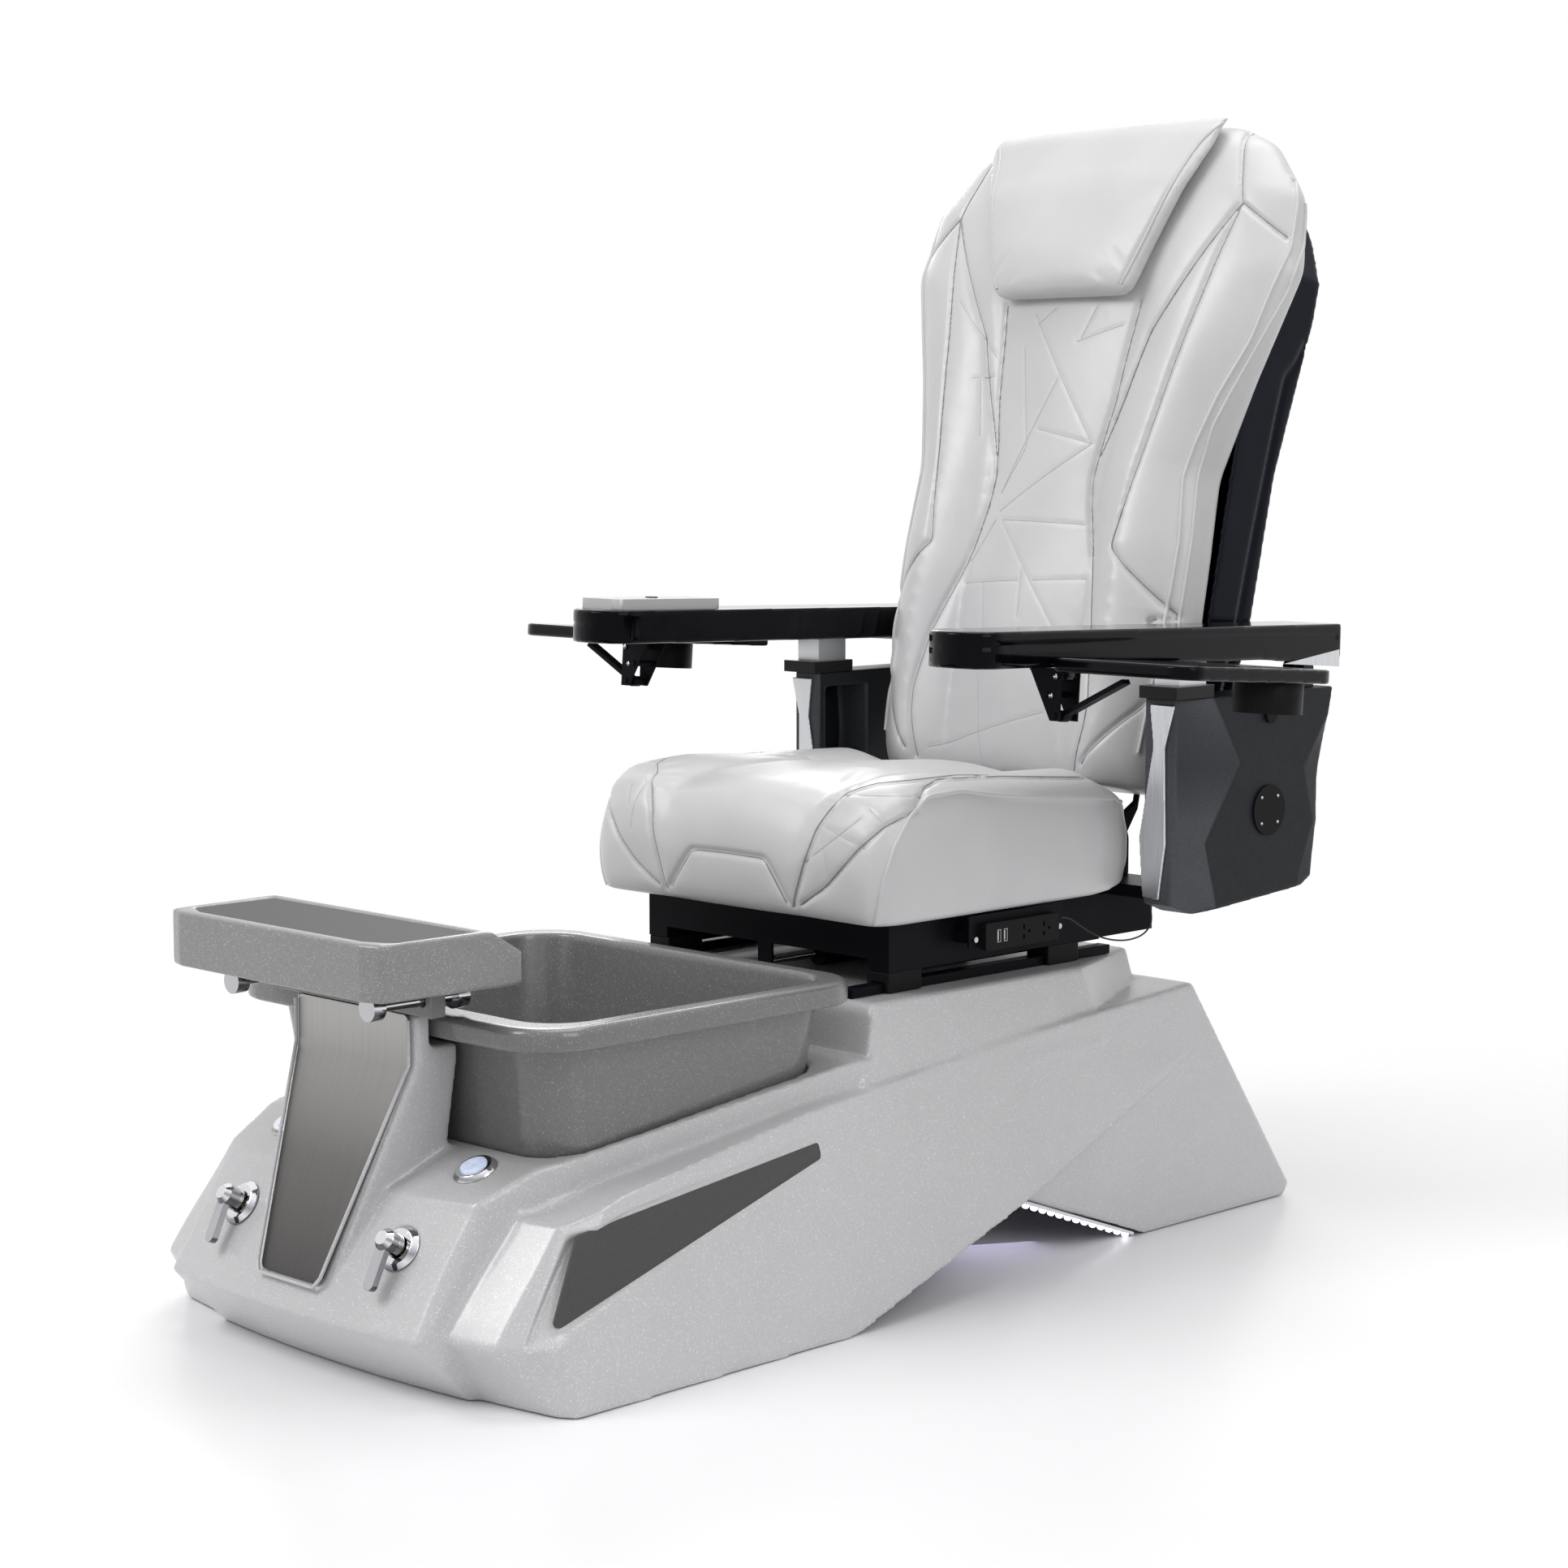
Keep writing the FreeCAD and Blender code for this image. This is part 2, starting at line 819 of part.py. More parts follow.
def make_base_shell():
    outer = side_rail_form(0).fuse([rear_foot_form(0), deck_form(0), plateau_form(0)])
    inner = side_rail_form(mm.shell_wall).fuse(
        [rear_foot_form(mm.shell_wall), deck_form(mm.shell_wall), plateau_form(mm.shell_wall)]
    )
    shell = outer.fuse(pedestal_form()).cut(inner)
    opening_heights = (mm.basin_floor_height - 5 * mm.shell_wall, mm.rim_height + mm.rim_drop)
    opening = Part.makeLoft([basin_outline(height, -3 * mm.gap) for height in opening_heights], True, True)
    shell = shell.cut(opening)
    for side in (-1, 1):
        tap_hole = placed(
            Part.makeCylinder(mm.tap_stem_radius + 1, 120, Vector(0, 0, -60)), tap_place(side)
        )
        button_hole = placed(
            Part.makeCylinder(mm.button_cap_radius + 3, 80, Vector(0, 0, -40)), button_place(side)
        )
        shell = shell.cut([tap_hole, button_hole, side_plate_cut(side)])
    return shell


def facet_placement(y, z, side):
    """The side facet's own frame at a point: X outwards, Y along, Z up the facet."""
    lean = math.degrees(math.atan(mm.side_lean))
    taper = math.degrees(math.atan(mm.side_taper))
    turn = Rotation(Vector(0, 0, 1), side * taper).multiply(Rotation(Vector(0, 1, 0), -side * lean))
    return Placement(Vector(side * side_half(y, z), y, z), turn)


def side_plate_outline(grow):
    """The plate's outline in the facet's frame, from its lower front corner."""
    run = mm.side_plate_high_y - mm.side_plate_low_y
    rise = mm.side_plate_high_height - mm.side_plate_low_height
    reach = mm.side_plate_tip_y - mm.side_plate_low_y
    tip_rise = mm.side_plate_tip_height - mm.side_plate_low_height
    return [
        (-2 * grow, -grow),
        (8, -6 - grow),
        (reach + grow, tip_rise - 9 - grow / 2),
        (reach + grow, tip_rise + 9 + grow / 2),
        (run - grow, rise + grow),
    ]


def side_plate_shape(side, grow, inner, outer):
    points = [Vector(side * inner, y, z) for y, z in side_plate_outline(grow)]
    shape = slab(points, Vector(side * (outer - inner), 0, 0))
    return placed(shape, facet_placement(mm.side_plate_low_y, mm.side_plate_low_height, side))


def side_plate_cut(side):
    return side_plate_shape(side, mm.gap * 2, -mm.side_recess, 40)


keep("base_shell", solid("base_shell", make_base_shell()))

# Steel panel on the pedestal: a bent sheet, trimmed to its tapering front outline
panel_strip = prism(
    "panel_strip",
    "YZ_Plane",
    [
        (at.panel_low_y, at.panel_low_height),
        (at.panel_kink_y, at.panel_kink_height),
        (at.panel_kink_y, at.panel_top_height),
        (at.panel_kink_y + at.panel_sheet - at.fit, at.panel_top_height),
        (at.panel_kink_y + at.panel_sheet - at.fit, at.panel_kink_height),
        (at.panel_low_y + at.panel_sheet - at.fit, at.panel_low_height),
    ],
    -at.panel_half_high,
    at.panel_half_high,
)
panel_front = prism(
    "panel_front",
    "XZ_Plane",
    [
        (-at.panel_half_low, at.panel_low_height),
        (at.panel_half_low, at.panel_low_height),
        (at.panel_half_high, at.panel_kink_height),
        (at.panel_half_high, at.panel_top_height),
        (-at.panel_half_high, at.panel_top_height),
        (-at.panel_half_high, at.panel_kink_height),
    ],
    at.deck_nose_y,
    at.basin_front_y,
)
keep("steel_panel", common("steel_panel", panel_strip, panel_front))

# Side plates, seated in their recesses
keep(
    "side_plates",
    group(
        "side_plates",
        [
            solid(
                f"side_plate_{index}",
                side_plate_shape(side, 0, -mm.side_recess + mm.fit, mm.side_plate_thick - mm.side_recess),
            )
            for index, side in enumerate((-1, 1))
        ],
    ),
)

# Arch lamps, under the rear slope of the arch
arch_run = mm.rear_foot_y - mm.arch_top_y
arch_slope = math.degrees(math.atan2(-mm.arch_height, arch_run))
LAMP_PLACE = Placement(
    Vector(mm.rear_foot_half - mm.lamp_strip_width - 2, mm.arch_top_y + 14, mm.arch_height - 6.5),
    Rotation(Vector(1, 0, 0), arch_slope),
)
lamp_strip = Part.makeBox(
    mm.lamp_strip_width, mm.lamp_strip_length, mm.lamp_strip_thick, Vector(0, 0, -mm.lamp_strip_thick)
)
lamp_pitch = (mm.lamp_strip_length - 6 * mm.lamp_radius) / (mm.lamp_count - 1)
bead_under = -mm.lamp_strip_thick - 2 - mm.fit
lamp_beads = [
    Part.makeCylinder(
        mm.lamp_radius,
        2,
        Vector(mm.lamp_strip_width / 2, 3 * mm.lamp_radius + index * lamp_pitch, bead_under),
    )
    for index in range(int(mm.lamp_count))
]
keep("arch_lamp_strips", both_sides("arch_lamp_strips", solid("lamp_strip", lamp_strip, LAMP_PLACE)))
keep("arch_lamps", both_sides("arch_lamps", solid("lamp_row", Part.makeCompound(lamp_beads), LAMP_PLACE)))


# Foot basin


def make_basin():
    wall = mm.basin_wall
    low = mm.basin_floor_height
    rim_low = mm.rim_height - mm.rim_drop
    outer = Part.makeLoft([basin_outline(low, 0), basin_outline(mm.rim_height, 0)], True, True)
    inner_heights = (low + wall, mm.rim_height + wall)
    inner = Part.makeLoft([basin_outline(height, wall) for height in inner_heights], True, True)
    rim_outline = rounded_rectangle(
        mm.basin_half_width + mm.rim_reach,
        mm.basin_front_y - mm.rim_front_reach,
        mm.basin_rear_y + mm.rim_reach,
        mm.basin_corner + mm.rim_reach / 2,
        rim_low,
    )
    rim = Part.Face(rim_outline).extrude(Vector(0, 0, mm.rim_drop))
    top_edges = [edge for edge in rim.Edges if edge.BoundBox.ZMin > mm.rim_height - 0.01]
    rim = rim.makeFillet(mm.rim_drop / 3, top_edges)
    basin = outer.fuse(rim).cut(inner)
    drain_hole = Part.makeCylinder(mm.drain_radius - 8, 40, Vector(0, mm.drain_y, low - 10))
    jet_hole = Part.makeCylinder(
        mm.jet_shaft_radius + 2, 80, Vector(0, mm.basin_rear_y - 60, mm.jet_height), Vector(0, 1, 0)
    )
    return basin.cut([drain_hole, jet_hole])


keep("foot_basin", solid("foot_basin", make_basin()))

# Drain: a domed cover with a neck through the basin floor
basin_inside = mm.basin_floor_height + mm.basin_wall
drain_profile = [
    (0, -mm.drain_tail),
    (mm.drain_radius - 12, -mm.drain_tail),
    (mm.drain_radius - 12, mm.fit),
    (mm.drain_radius, mm.fit),
    (mm.drain_radius - 4, mm.drain_lift),
    (0, mm.drain_lift + 2),
]
keep(
    "basin_drain",
    solid("basin_drain", lathe(drain_profile), Placement(Vector(0, mm.drain_y, basin_inside), Rotation())),
)

# Whirlpool jet on the basin's rear wall: cover, impeller and the motor behind the wall
jet_wall_y = mm.basin_rear_y - basin_level(mm.jet_height) - mm.basin_wall
wall_lean = math.degrees(math.atan(mm.basin_draft / (mm.rim_height - mm.basin_floor_height)))
JET_TURN = Rotation(Vector(1, 0, 0), 90 - wall_lean)
cover_depth = mm.jet_cover_depth
cover_profile = [
    (mm.jet_radius - 4, mm.fit),
    (mm.jet_radius, mm.fit),
    (mm.jet_radius - 3, cover_depth),
    (8, cover_depth),
    (8, cover_depth - 3),
    (mm.jet_radius - 7, cover_depth - 3),
]
jet_cover = lathe(cover_profile)
for step in range(6):
    slot = Part.makeBox(mm.jet_radius - 24, 5, 20, Vector(14, -2.5, cover_depth - 10))
    jet_cover = jet_cover.cut(placed(slot, Placement(Vector(), Rotation(Vector(0, 0, 1), 60 * step))))
JET_PLACE = Placement(Vector(0, jet_wall_y, mm.jet_height), JET_TURN)
keep("jet_cover", solid("jet_cover", jet_cover, JET_PLACE))
impeller = Part.makeCylinder(7, 7, Vector(0, 0, 4))
for step in range(5):
    blade = Part.makeBox(mm.impeller_radius - 5, 3, 6, Vector(5, -1.5, 4.5))
    impeller = impeller.fuse(placed(blade, Placement(Vector(), Rotation(Vector(0, 0, 1), 72 * step))))
impeller = impeller.cut(Part.makeCylinder(mm.jet_shaft_radius + mm.fit, 20, Vector(0, 0, 0)))
keep("jet_impeller", solid("jet_impeller", impeller, JET_PLACE))
motor_gap = mm.basin_wall + 1
motor_end = Vector(0, 0, -motor_gap - mm.jet_motor_length)
motor = Part.makeCylinder(mm.jet_motor_radius, mm.jet_motor_length, motor_end)
motor = motor.fuse(Part.makeCylinder(mm.jet_shaft_radius, motor_gap + 12, Vector(0, 0, -motor_gap - 1)))
keep("jet_motor", solid("jet_motor", motor, JET_PLACE))

# Taps: flange, valve behind the face and a lever on each

flange_profile = [
    (mm.tap_stem_radius + mm.gap, 0.4),
    (mm.tap_flange_radius, 0.4),
    (mm.tap_flange_radius, 2),
    (mm.tap_flange_radius - 6, mm.tap_flange_thick),
    (mm.tap_stem_radius + mm.gap, mm.tap_flange_thick),
]
keep(
    "tap_flanges",
    group("tap_flanges", [
        solid(f"tap_flange_{index}", lathe(flange_profile), tap_place(side))
        for index, side in enumerate((-1, 1))
    ]),
)
wall_behind = mm.shell_wall * 1.5
valve_profile = [
    (0, -wall_behind - mm.tap_valve_length),
    (mm.tap_valve_radius, -wall_behind - mm.tap_valve_length),
    (mm.tap_valve_radius, -wall_behind),
    (mm.tap_stem_radius, -wall_behind),
    (mm.tap_stem_radius, mm.tap_flange_thick + 2),
    (0, mm.tap_flange_thick + 2),
]
keep(
    "tap_valves",
    group("tap_valves", [
        solid(f"tap_valve_{index}", lathe(valve_profile), tap_place(side))
        for index, side in enumerate((-1, 1))
    ]),
)


def make_lever():
    """A domed hub with a flat rounded lever hanging from it."""
    low = mm.tap_flange_thick + 2 + mm.gap
    high = low + mm.tap_hub_length
    hub = lathe([
        (0, low),
        (mm.tap_hub_radius, low),
        (mm.tap_hub_radius, high - 6),
        (mm.tap_hub_radius - 5, high),
        (0, high),
    ])
    half = mm.tap_lever_width / 2
    lever = Part.makeBox(mm.tap_lever_width, mm.tap_lever_length, mm.tap_lever_thick,
                         Vector(-half, -mm.tap_lever_length, high - mm.tap_lever_thick - 4))
    tip_edges = [
        edge for edge in lever.Edges
        if edge.BoundBox.YMax < -mm.tap_lever_length + 0.01 and edge.BoundBox.ZLength > 1
    ]
    lever = lever.makeFillet(half - 0.5, tip_edges)
    lever = placed(lever, Placement(Vector(), Rotation(Vector(1, 0, 0), 8), Vector(0, 0, high)))
    return hub.fuse(lever)


for side, name in ((-1, "right_tap_lever"), (1, "left_tap_lever")):
    keep(name, solid(name, make_lever(), tap_place(side)))

# Deck push-buttons: a flanged barrel and a cap that travels in it
cap_bore = mm.button_cap_radius + mm.gap
barrel_profile = [
    (cap_bore, -mm.button_barrel),
    (cap_bore + 2, -mm.button_barrel),
    (cap_bore + 2, 0.3),
    (mm.button_flange_radius, 0.3),
    (mm.button_flange_radius - 5, mm.button_flange_thick),
    (cap_bore, mm.button_flange_thick),
]
cap_top = mm.button_flange_thick + mm.button_stand
cap_profile = [
    (0, -8),
    (mm.button_cap_radius, -8),
    (mm.button_cap_radius, cap_top - 1),
    (mm.button_cap_radius - 3, cap_top),
    (0, cap_top),
]
keep(
    "button_flanges",
    group("button_flanges", [
        solid(f"button_flange_{index}", lathe(barrel_profile), button_place(side))
        for index, side in enumerate((-1, 1))
    ]),
)
for side, name in ((-1, "right_deck_button"), (1, "left_deck_button")):
    keep(name, solid(name, lathe(cap_profile), button_place(side)))

# Footrest: a tray with cut front corners and a sloping rear, its darker pad, and two rods below it
footrest_front = at.panel_kink_y - at.footrest_overhang
footrest_rear = footrest_front + at.footrest_depth
footrest_under = at.panel_top_height + at.footrest_clearance
footrest_top = footrest_under + at.footrest_height
rod_height = at.panel_top_height + at.footrest_rod_rise
rod_front_y = footrest_front + at.footrest_rod_setback
rod_rear_y = rod_front_y + at.footrest_rod_pitch
footrest_corners = [
    (-at.footrest_half_width + at.footrest_corner / 4, footrest_front + at.footrest_corner / 4),
    (-at.footrest_half_width + at.footrest_corner, footrest_front),
    (at.footrest_half_width - at.footrest_corner, footrest_front),
    (at.footrest_half_width - at.footrest_corner / 4, footrest_front + at.footrest_corner / 4),
    (at.footrest_half_width, footrest_rear),
    (-at.footrest_half_width, footrest_rear),
]
footrest_block = prism("footrest_block", "XY_Plane", footrest_corners, footrest_under, footrest_top)
pad_half = at.footrest_half_width - at.footrest_pad_inset
pad_front = footrest_front + at.footrest_pad_inset
slope_front = footrest_rear - at.footrest_slope
slope_low = footrest_top - at.footrest_drop
pad_rear = slope_front - at.footrest_pad_inset / 2
hollow_half = at.footrest_half_width - at.footrest_corner
footrest_hollow = block(
    "footrest_hollow",
    (-hollow_half, footrest_front + 3 * at.footrest_wall, footrest_under - 1),
    (hollow_half, footrest_rear - 3 * at.footrest_wall, footrest_top - 4 * at.footrest_wall),
)
pad_corners = [
    (-pad_half, pad_front + at.footrest_pad_inset),
    (-pad_half + at.footrest_corner, pad_front),
    (pad_half - at.footrest_corner, pad_front),
    (pad_half, pad_front + at.footrest_pad_inset),
    (pad_half, pad_rear),
    (-pad_half, pad_rear),
]
pad_under = footrest_top - at.footrest_pad_depth
pad_seat = prism("pad_seat", "XY_Plane", pad_corners, pad_under, footrest_top + 1)
slope_outline = [
    (slope_front, footrest_top),
    (footrest_rear, slope_low),
    (footrest_rear + 1, slope_low),
    (footrest_rear + 1, footrest_top + 1),
    (slope_front, footrest_top + 1),
]
slope_cut = prism(
    "slope_cut",
    "YZ_Plane",
    slope_outline,
    -at.footrest_half_width - 1,
    at.footrest_half_width + 1,
)
rod_stubs = []
boss_seats = []
for index, side in enumerate((-1, 1)):
    for place, y in enumerate((rod_front_y, rod_rear_y)):
        rod_stubs.append(
            rod(
                f"footrest_stub_{index}_{place}",
                at.footrest_boss_radius / 2,
                (side * at.footrest_rod_x, y + at.footrest_boss_length / 2, rod_height),
                "z",
                footrest_top - 4 * at.footrest_wall - rod_height,
            )
        )
footrest_open = cut("footrest_open", footrest_block, footrest_hollow)
footrest_sloped = cut("footrest_sloped", footrest_open, slope_cut)
keep("footrest_tray", cut("footrest_tray", footrest_sloped, pad_seat))
footrest_pad = prism(
    "footrest_pad",
    "XY_Plane",
    [(x * 0.999, y) for x, y in pad_corners],
    pad_under,
    footrest_top - at.footrest_pad_depth / 2,
)
keep("footrest_pad", footrest_pad)
rod_pieces = list(rod_stubs)
for index, side in enumerate((-1, 1)):
    rod_pieces.append(
        rod(
            f"footrest_rod_{index}",
            at.footrest_rod_radius,
            (side * at.footrest_rod_x, rod_front_y, rod_height),
            "y",
            rod_rear_y + at.footrest_boss_length - rod_front_y,
        )
    )
    for place, y in enumerate((rod_front_y, rod_rear_y)):
        rod_pieces.append(
            rod(
                f"footrest_boss_{index}_{place}",
                at.footrest_boss_radius,
                (side * at.footrest_rod_x, y, rod_height),
                "y",
                at.footrest_boss_length,
            )
        )
keep("footrest_rods", fuse("footrest_rods", rod_pieces))

# Carrier block on the pedestal, bored for the two rods
carrier_front = at.panel_kink_y
carrier_block = block(
    "carrier_block",
    (-at.carrier_half_width, carrier_front, at.panel_top_height + at.fit),
    (at.carrier_half_width, carrier_front + at.carrier_depth, footrest_under - 2),
)
carrier_bores = fuse(
    "carrier_bores",
    [
        rod(
            f"carrier_bore_{index}",
            at.footrest_rod_radius + at.fit,
            (side * at.footrest_rod_x, carrier_front - 5, rod_height),
            "y",
            at.carrier_depth + 10,
        )
        for index, side in enumerate((-1, 1))
    ],
)
keep("footrest_carrier", cut("footrest_carrier", carrier_block, carrier_bores))

# Control box, hung under the plinth
plinth_under = at.plateau_height - at.shell_wall - at.fit
box_rear_y = at.control_box_front_y + at.control_box_length
keep(
    "control_box",
    block(
        "control_box",
        (-at.control_box_right, at.control_box_front_y, plinth_under - at.control_box_height),
        (at.control_box_left, box_rear_y, plinth_under),
    ),
)


def tube(points, diameter, radius_share=0.45):
    """A round tube along straight runs joined by tangent arcs; also prints its radii."""
    edges = []
    start = points[0]
    for before, corner, after in zip(points, points[1:], points[2:]):
        incoming = corner - before
        outgoing = after - corner
        turn = incoming.getAngle(outgoing)
        reach = radius_share * min(incoming.Length, outgoing.Length)
        radius = reach / math.tan(turn / 2)
        first = corner - incoming.normalize() * reach
        last = corner + outgoing.normalize() * reach
        inward = (first - corner) + (last - corner)
        inward.normalize()
        centre = corner + inward * math.hypot(radius, reach)
        middle = centre - inward * radius
        edges.append(Part.LineSegment(start, first).toShape())
        edges.append(Part.Arc(first, middle, last).toShape())
        start = last
        print(f"tube {diameter:g} mm: radius {radius:.1f} mm, turn {math.degrees(turn):.0f} degrees")
    edges.append(Part.LineSegment(start, points[-1]).toShape())
    path = Part.Wire(edges)
    heading = points[1] - points[0]
    ring = Part.Wire(Part.makeCircle(diameter / 2, points[0], heading))
    shape = path.makePipeShell([ring], True, False)
    ratio = shape.Volume / (math.pi * diameter ** 2 / 4 * path.Length)
    print(f"tube {diameter:g} mm: length {path.Length:.0f} mm, volume ratio {ratio:.4f}")
    return shape


# Slide rails on the plinth, and the actuator tube between them
rail_bar = block(
    "rail_bar",
    (at.rail_x - at.rail_width / 2, at.rail_front_y, at.plateau_height + at.fit),
    (at.rail_x + at.rail_width / 2, at.rail_rear_y, at.plateau_height + at.rail_thick),
)
keep("slide_rails", both_sides("slide_rails", rail_bar))
actuator_height = at.plateau_height + at.actuator_radius + at.fit
actuator_body = rod(
    "actuator_body",
    at.actuator_radius,
    (0, at.actuator_front_y, actuator_height),
    "y",
    at.actuator_rear_y - at.actuator_front_y,
)
actuator_bore = rod(
    "actuator_bore",
    at.actuator_rod_radius + at.fit,
    (0, at.actuator_front_y - 5, actuator_height),
    "y",
    at.actuator_rear_y - at.actuator_front_y - 30,
)
keep("slide_actuator", cut("slide_actuator", actuator_body, actuator_bore))

# Seat frame: side and cross tubes welded face to face, arm beam, uprights and hinge ears
frame_low = at.frame_under
frame_high = at.frame_top
beam_top = frame_high + at.beam_thick
side_inner = at.frame_half_width - at.frame_tube
frame_parts = []
for index, y in enumerate((at.frame_front_y, at.frame_mid_y, at.frame_rear_y - at.frame_tube)):
    frame_parts.append(
        block(
            f"frame_cross_{index}",
            (-side_inner, y, frame_low + at.cross_lift),
            (side_inner, y + at.frame_tube, frame_high),
        )
    )
frame_parts.append(
    block(
        "rod_bracket",
        (-2 * at.actuator_rod_radius, at.frame_front_y, at.plateau_height + 6),
        (2 * at.actuator_rod_radius, at.frame_front_y + 4, frame_low + at.cross_lift),
    )
)
frame_parts.append(
    block(
        "arm_beam",
        (-at.side_panel_inner - at.upright_thick, at.arm_bracket_front_y, frame_high),
        (at.side_panel_inner + at.upright_thick, at.arm_bracket_rear_y, beam_top),
    )
)
side_tube = block(
    "side_tube",
    (side_inner, at.frame_front_y, frame_low),
    (at.frame_half_width, at.frame_rear_y, frame_high),
)
arm_upright = block(
    "arm_upright",
    (at.side_panel_inner, at.arm_bracket_front_y, beam_top),
    (at.side_panel_inner + at.upright_thick, at.arm_bracket_rear_y, beam_top + at.upright_height),
)
ear_x = at.lug_x + at.lug_thick + at.gap
hinge_ear = fuse(
    "hinge_ear",
    [
        block(
            "hinge_ear_plate",
            (ear_x, at.hinge_y - at.lug_radius, beam_top),
            (ear_x + at.lug_thick, at.hinge_y + at.lug_radius, at.hinge_height),
        ),
        rod("hinge_ear_round", at.lug_radius, (ear_x, at.hinge_y, at.hinge_height), "x", at.lug_thick),
        rod(
            "hinge_pin",
            at.hinge_pin_radius,
            (at.lug_x - 4, at.hinge_y, at.hinge_height),
            "x",
            2 * at.lug_thick + at.gap + 4,
        ),
    ],
)
for piece in (side_tube, arm_upright, hinge_ear):
    frame_parts += [piece, mirrored(piece.Name + "_other", piece)]
keep("seat_frame", group("seat_frame", frame_parts))

# Slide shoes: channels under the side tubes that straddle the rails
shoe_half = at.rail_width / 2 + at.gap + at.shoe_wall
groove_half = at.rail_width / 2 + at.gap
shoe_parts = []
for index, y in enumerate((at.frame_front_y, at.shoe_rear_y)):
    shoe = block(
        f"shoe_{index}",
        (at.rail_x - shoe_half, y, at.plateau_height + 1),
        (at.rail_x + shoe_half, y + at.shoe_length, frame_low - at.fit),
    )
    groove = block(
        f"shoe_groove_{index}",
        (at.rail_x - groove_half, y - 1, at.plateau_height),
        (at.rail_x + groove_half, y + at.shoe_length + 1, at.plateau_height + at.rail_thick + at.gap),
    )
    shoe_parts.append(cut(f"slide_shoe_{index}", shoe, groove))
keep("slide_shoes", both_sides("slide_shoes", group("shoe_pair", shoe_parts)))

# Actuator rod, from the fixed tube to the frame's front cross tube
keep(
    "actuator_rod",
    rod(
        "actuator_rod",
        at.actuator_rod_radius,
        (0, at.frame_front_y + 4, actuator_height),
        "y",
        at.actuator_rear_y - 130 - at.frame_front_y,
    ),
)
keep(
    "recline_motor",
    rod(
        "recline_motor",
        at.motor_radius,
        (at.lug_x - 20 - at.motor_length, at.hinge_y - 4, beam_top + at.motor_radius + at.fit),
        "x",
        at.motor_length,
    ),
)

# Seat cushion: lofted through cross sections with a centre crown, two channels and side bolsters


def arc(start, middle, end):
    return Part.Arc(Vector(*start), Vector(*middle), Vector(*end)).toShape()


def line(start, end):
    return Part.LineSegment(Vector(*start), Vector(*end)).toShape()


def seat_section(y, half, low, seam, top):
    """One cross section of the seat cushion, as lines and arcs."""
    channel = mm.channel_x * half / mm.seat_half_width
    valley = top - mm.channel_drop
    shoulder = half - 26
    right = (
        ((half - 12, y, low), (half, y, (low + seam) / 2), (half - 4, y, seam)),
        ((half - 4, y, seam), (shoulder + 12, y, top - 12), (shoulder, y, top - 5)),
        ((shoulder, y, top - 5), ((shoulder + channel) / 2, y, top + mm.bolster_rise), (channel, y, valley)),
    )
    edges = [line((-half + 12, y, low), (half - 12, y, low))]
    edges += [arc(*points) for points in right]
    edges.append(arc((channel, y, valley), (0, y, top), (-channel, y, valley)))
    for start, middle, end in reversed(right):
        edges.append(arc(*[(-x, depth, height) for x, depth, height in (end, middle, start)]))
    return Part.Wire(edges)


def make_seat_cushion():
    low = mm.seat_under
    top = mm.seat_top
    width = mm.seat_half_width
    front = mm.seat_front_y
    stations = (
        (front, width - 34, low + 18, low + 60, top - 86),
        (front + 8, width - 18, low + 4, low + 90, top - 52),
        (front + 26, width - 8, low, low + 112, top - 18),
        (front + 56, width, low, low + 128, top - 3),
        (front + 110, width, low, low + 136, top + 2),
        (front + 220, width, low, low + 124, top - 4),
        (mm.seat_rear_y - 60, width, low, low + 118, top - 10),
        (mm.seat_rear_y, width - 8, low + 6, low + 96, top - 34),
    )
    return Part.makeLoft([seat_section(*station) for station in stations], True, True)


keep("seat_cushion", solid("seat_cushion", make_seat_cushion()))

# Power plate under the cushion, its socket strip, ports and screws
plate_parts = [
    block(
        "plate_sheet",
        (at.plate_x, at.plate_front_y, at.plate_low),
        (at.plate_x + at.plate_thick, at.plate_rear_y, at.plate_high),
    )
]
for index, y in enumerate((at.plate_front_y + 4, at.plate_rear_y - 16)):
    plate_parts.append(
        block(
            f"plate_standoff_{index}",
            (at.frame_half_width + at.fit, y, at.plate_low + 6),
            (at.plate_x, y + 12, at.plate_low + 20),
        )
    )
keep("power_plate", fuse("power_plate", plate_parts))
strip_x = at.plate_x + at.plate_thick + at.fit
strip_face = strip_x + at.strip_thick
strip_middle = (at.strip_low + at.strip_high) / 2
strip_block = prism(
    "strip_block",
    "YZ_Plane",
    [
        (at.strip_front_y, at.strip_low),
        (at.strip_rear_y, at.strip_low),
        (at.strip_rear_y, at.strip_high),
        (at.strip_front_y, at.strip_high),
    ],
    strip_x,
    strip_face,
    round_by=4,
)
pocket_parts = []
socket_places = (at.strip_rear_y - 62, at.strip_rear_y - 24)
for index, y in enumerate(socket_places):
    for row, (shift, lift, width, height) in enumerate(((-5, 6, 3, 6), (-5, -6, 3, 6), (5, 0, 3.8, 3.8))):
        pocket_parts.append(
            block(
                f"socket_slot_{index}_{row}",
                (strip_face - 7, y + shift - width / 2, strip_middle + lift - height / 2),
                (strip_face + 1, y + shift + width / 2, strip_middle + lift + height / 2),
            )
        )
port_places = (at.strip_front_y + 24, at.strip_front_y + 36)
for index, y in enumerate(port_places):
    pocket_parts.append(
        block(
            f"port_pocket_{index}",
            (strip_face - 8, y - 3.5, strip_middle - 8),
            (strip_face + 1, y + 3.5, strip_middle + 8),
        )
    )
keep("power_strip", cut("power_strip", strip_block, fuse("strip_pockets", pocket_parts)))
port_parts = []
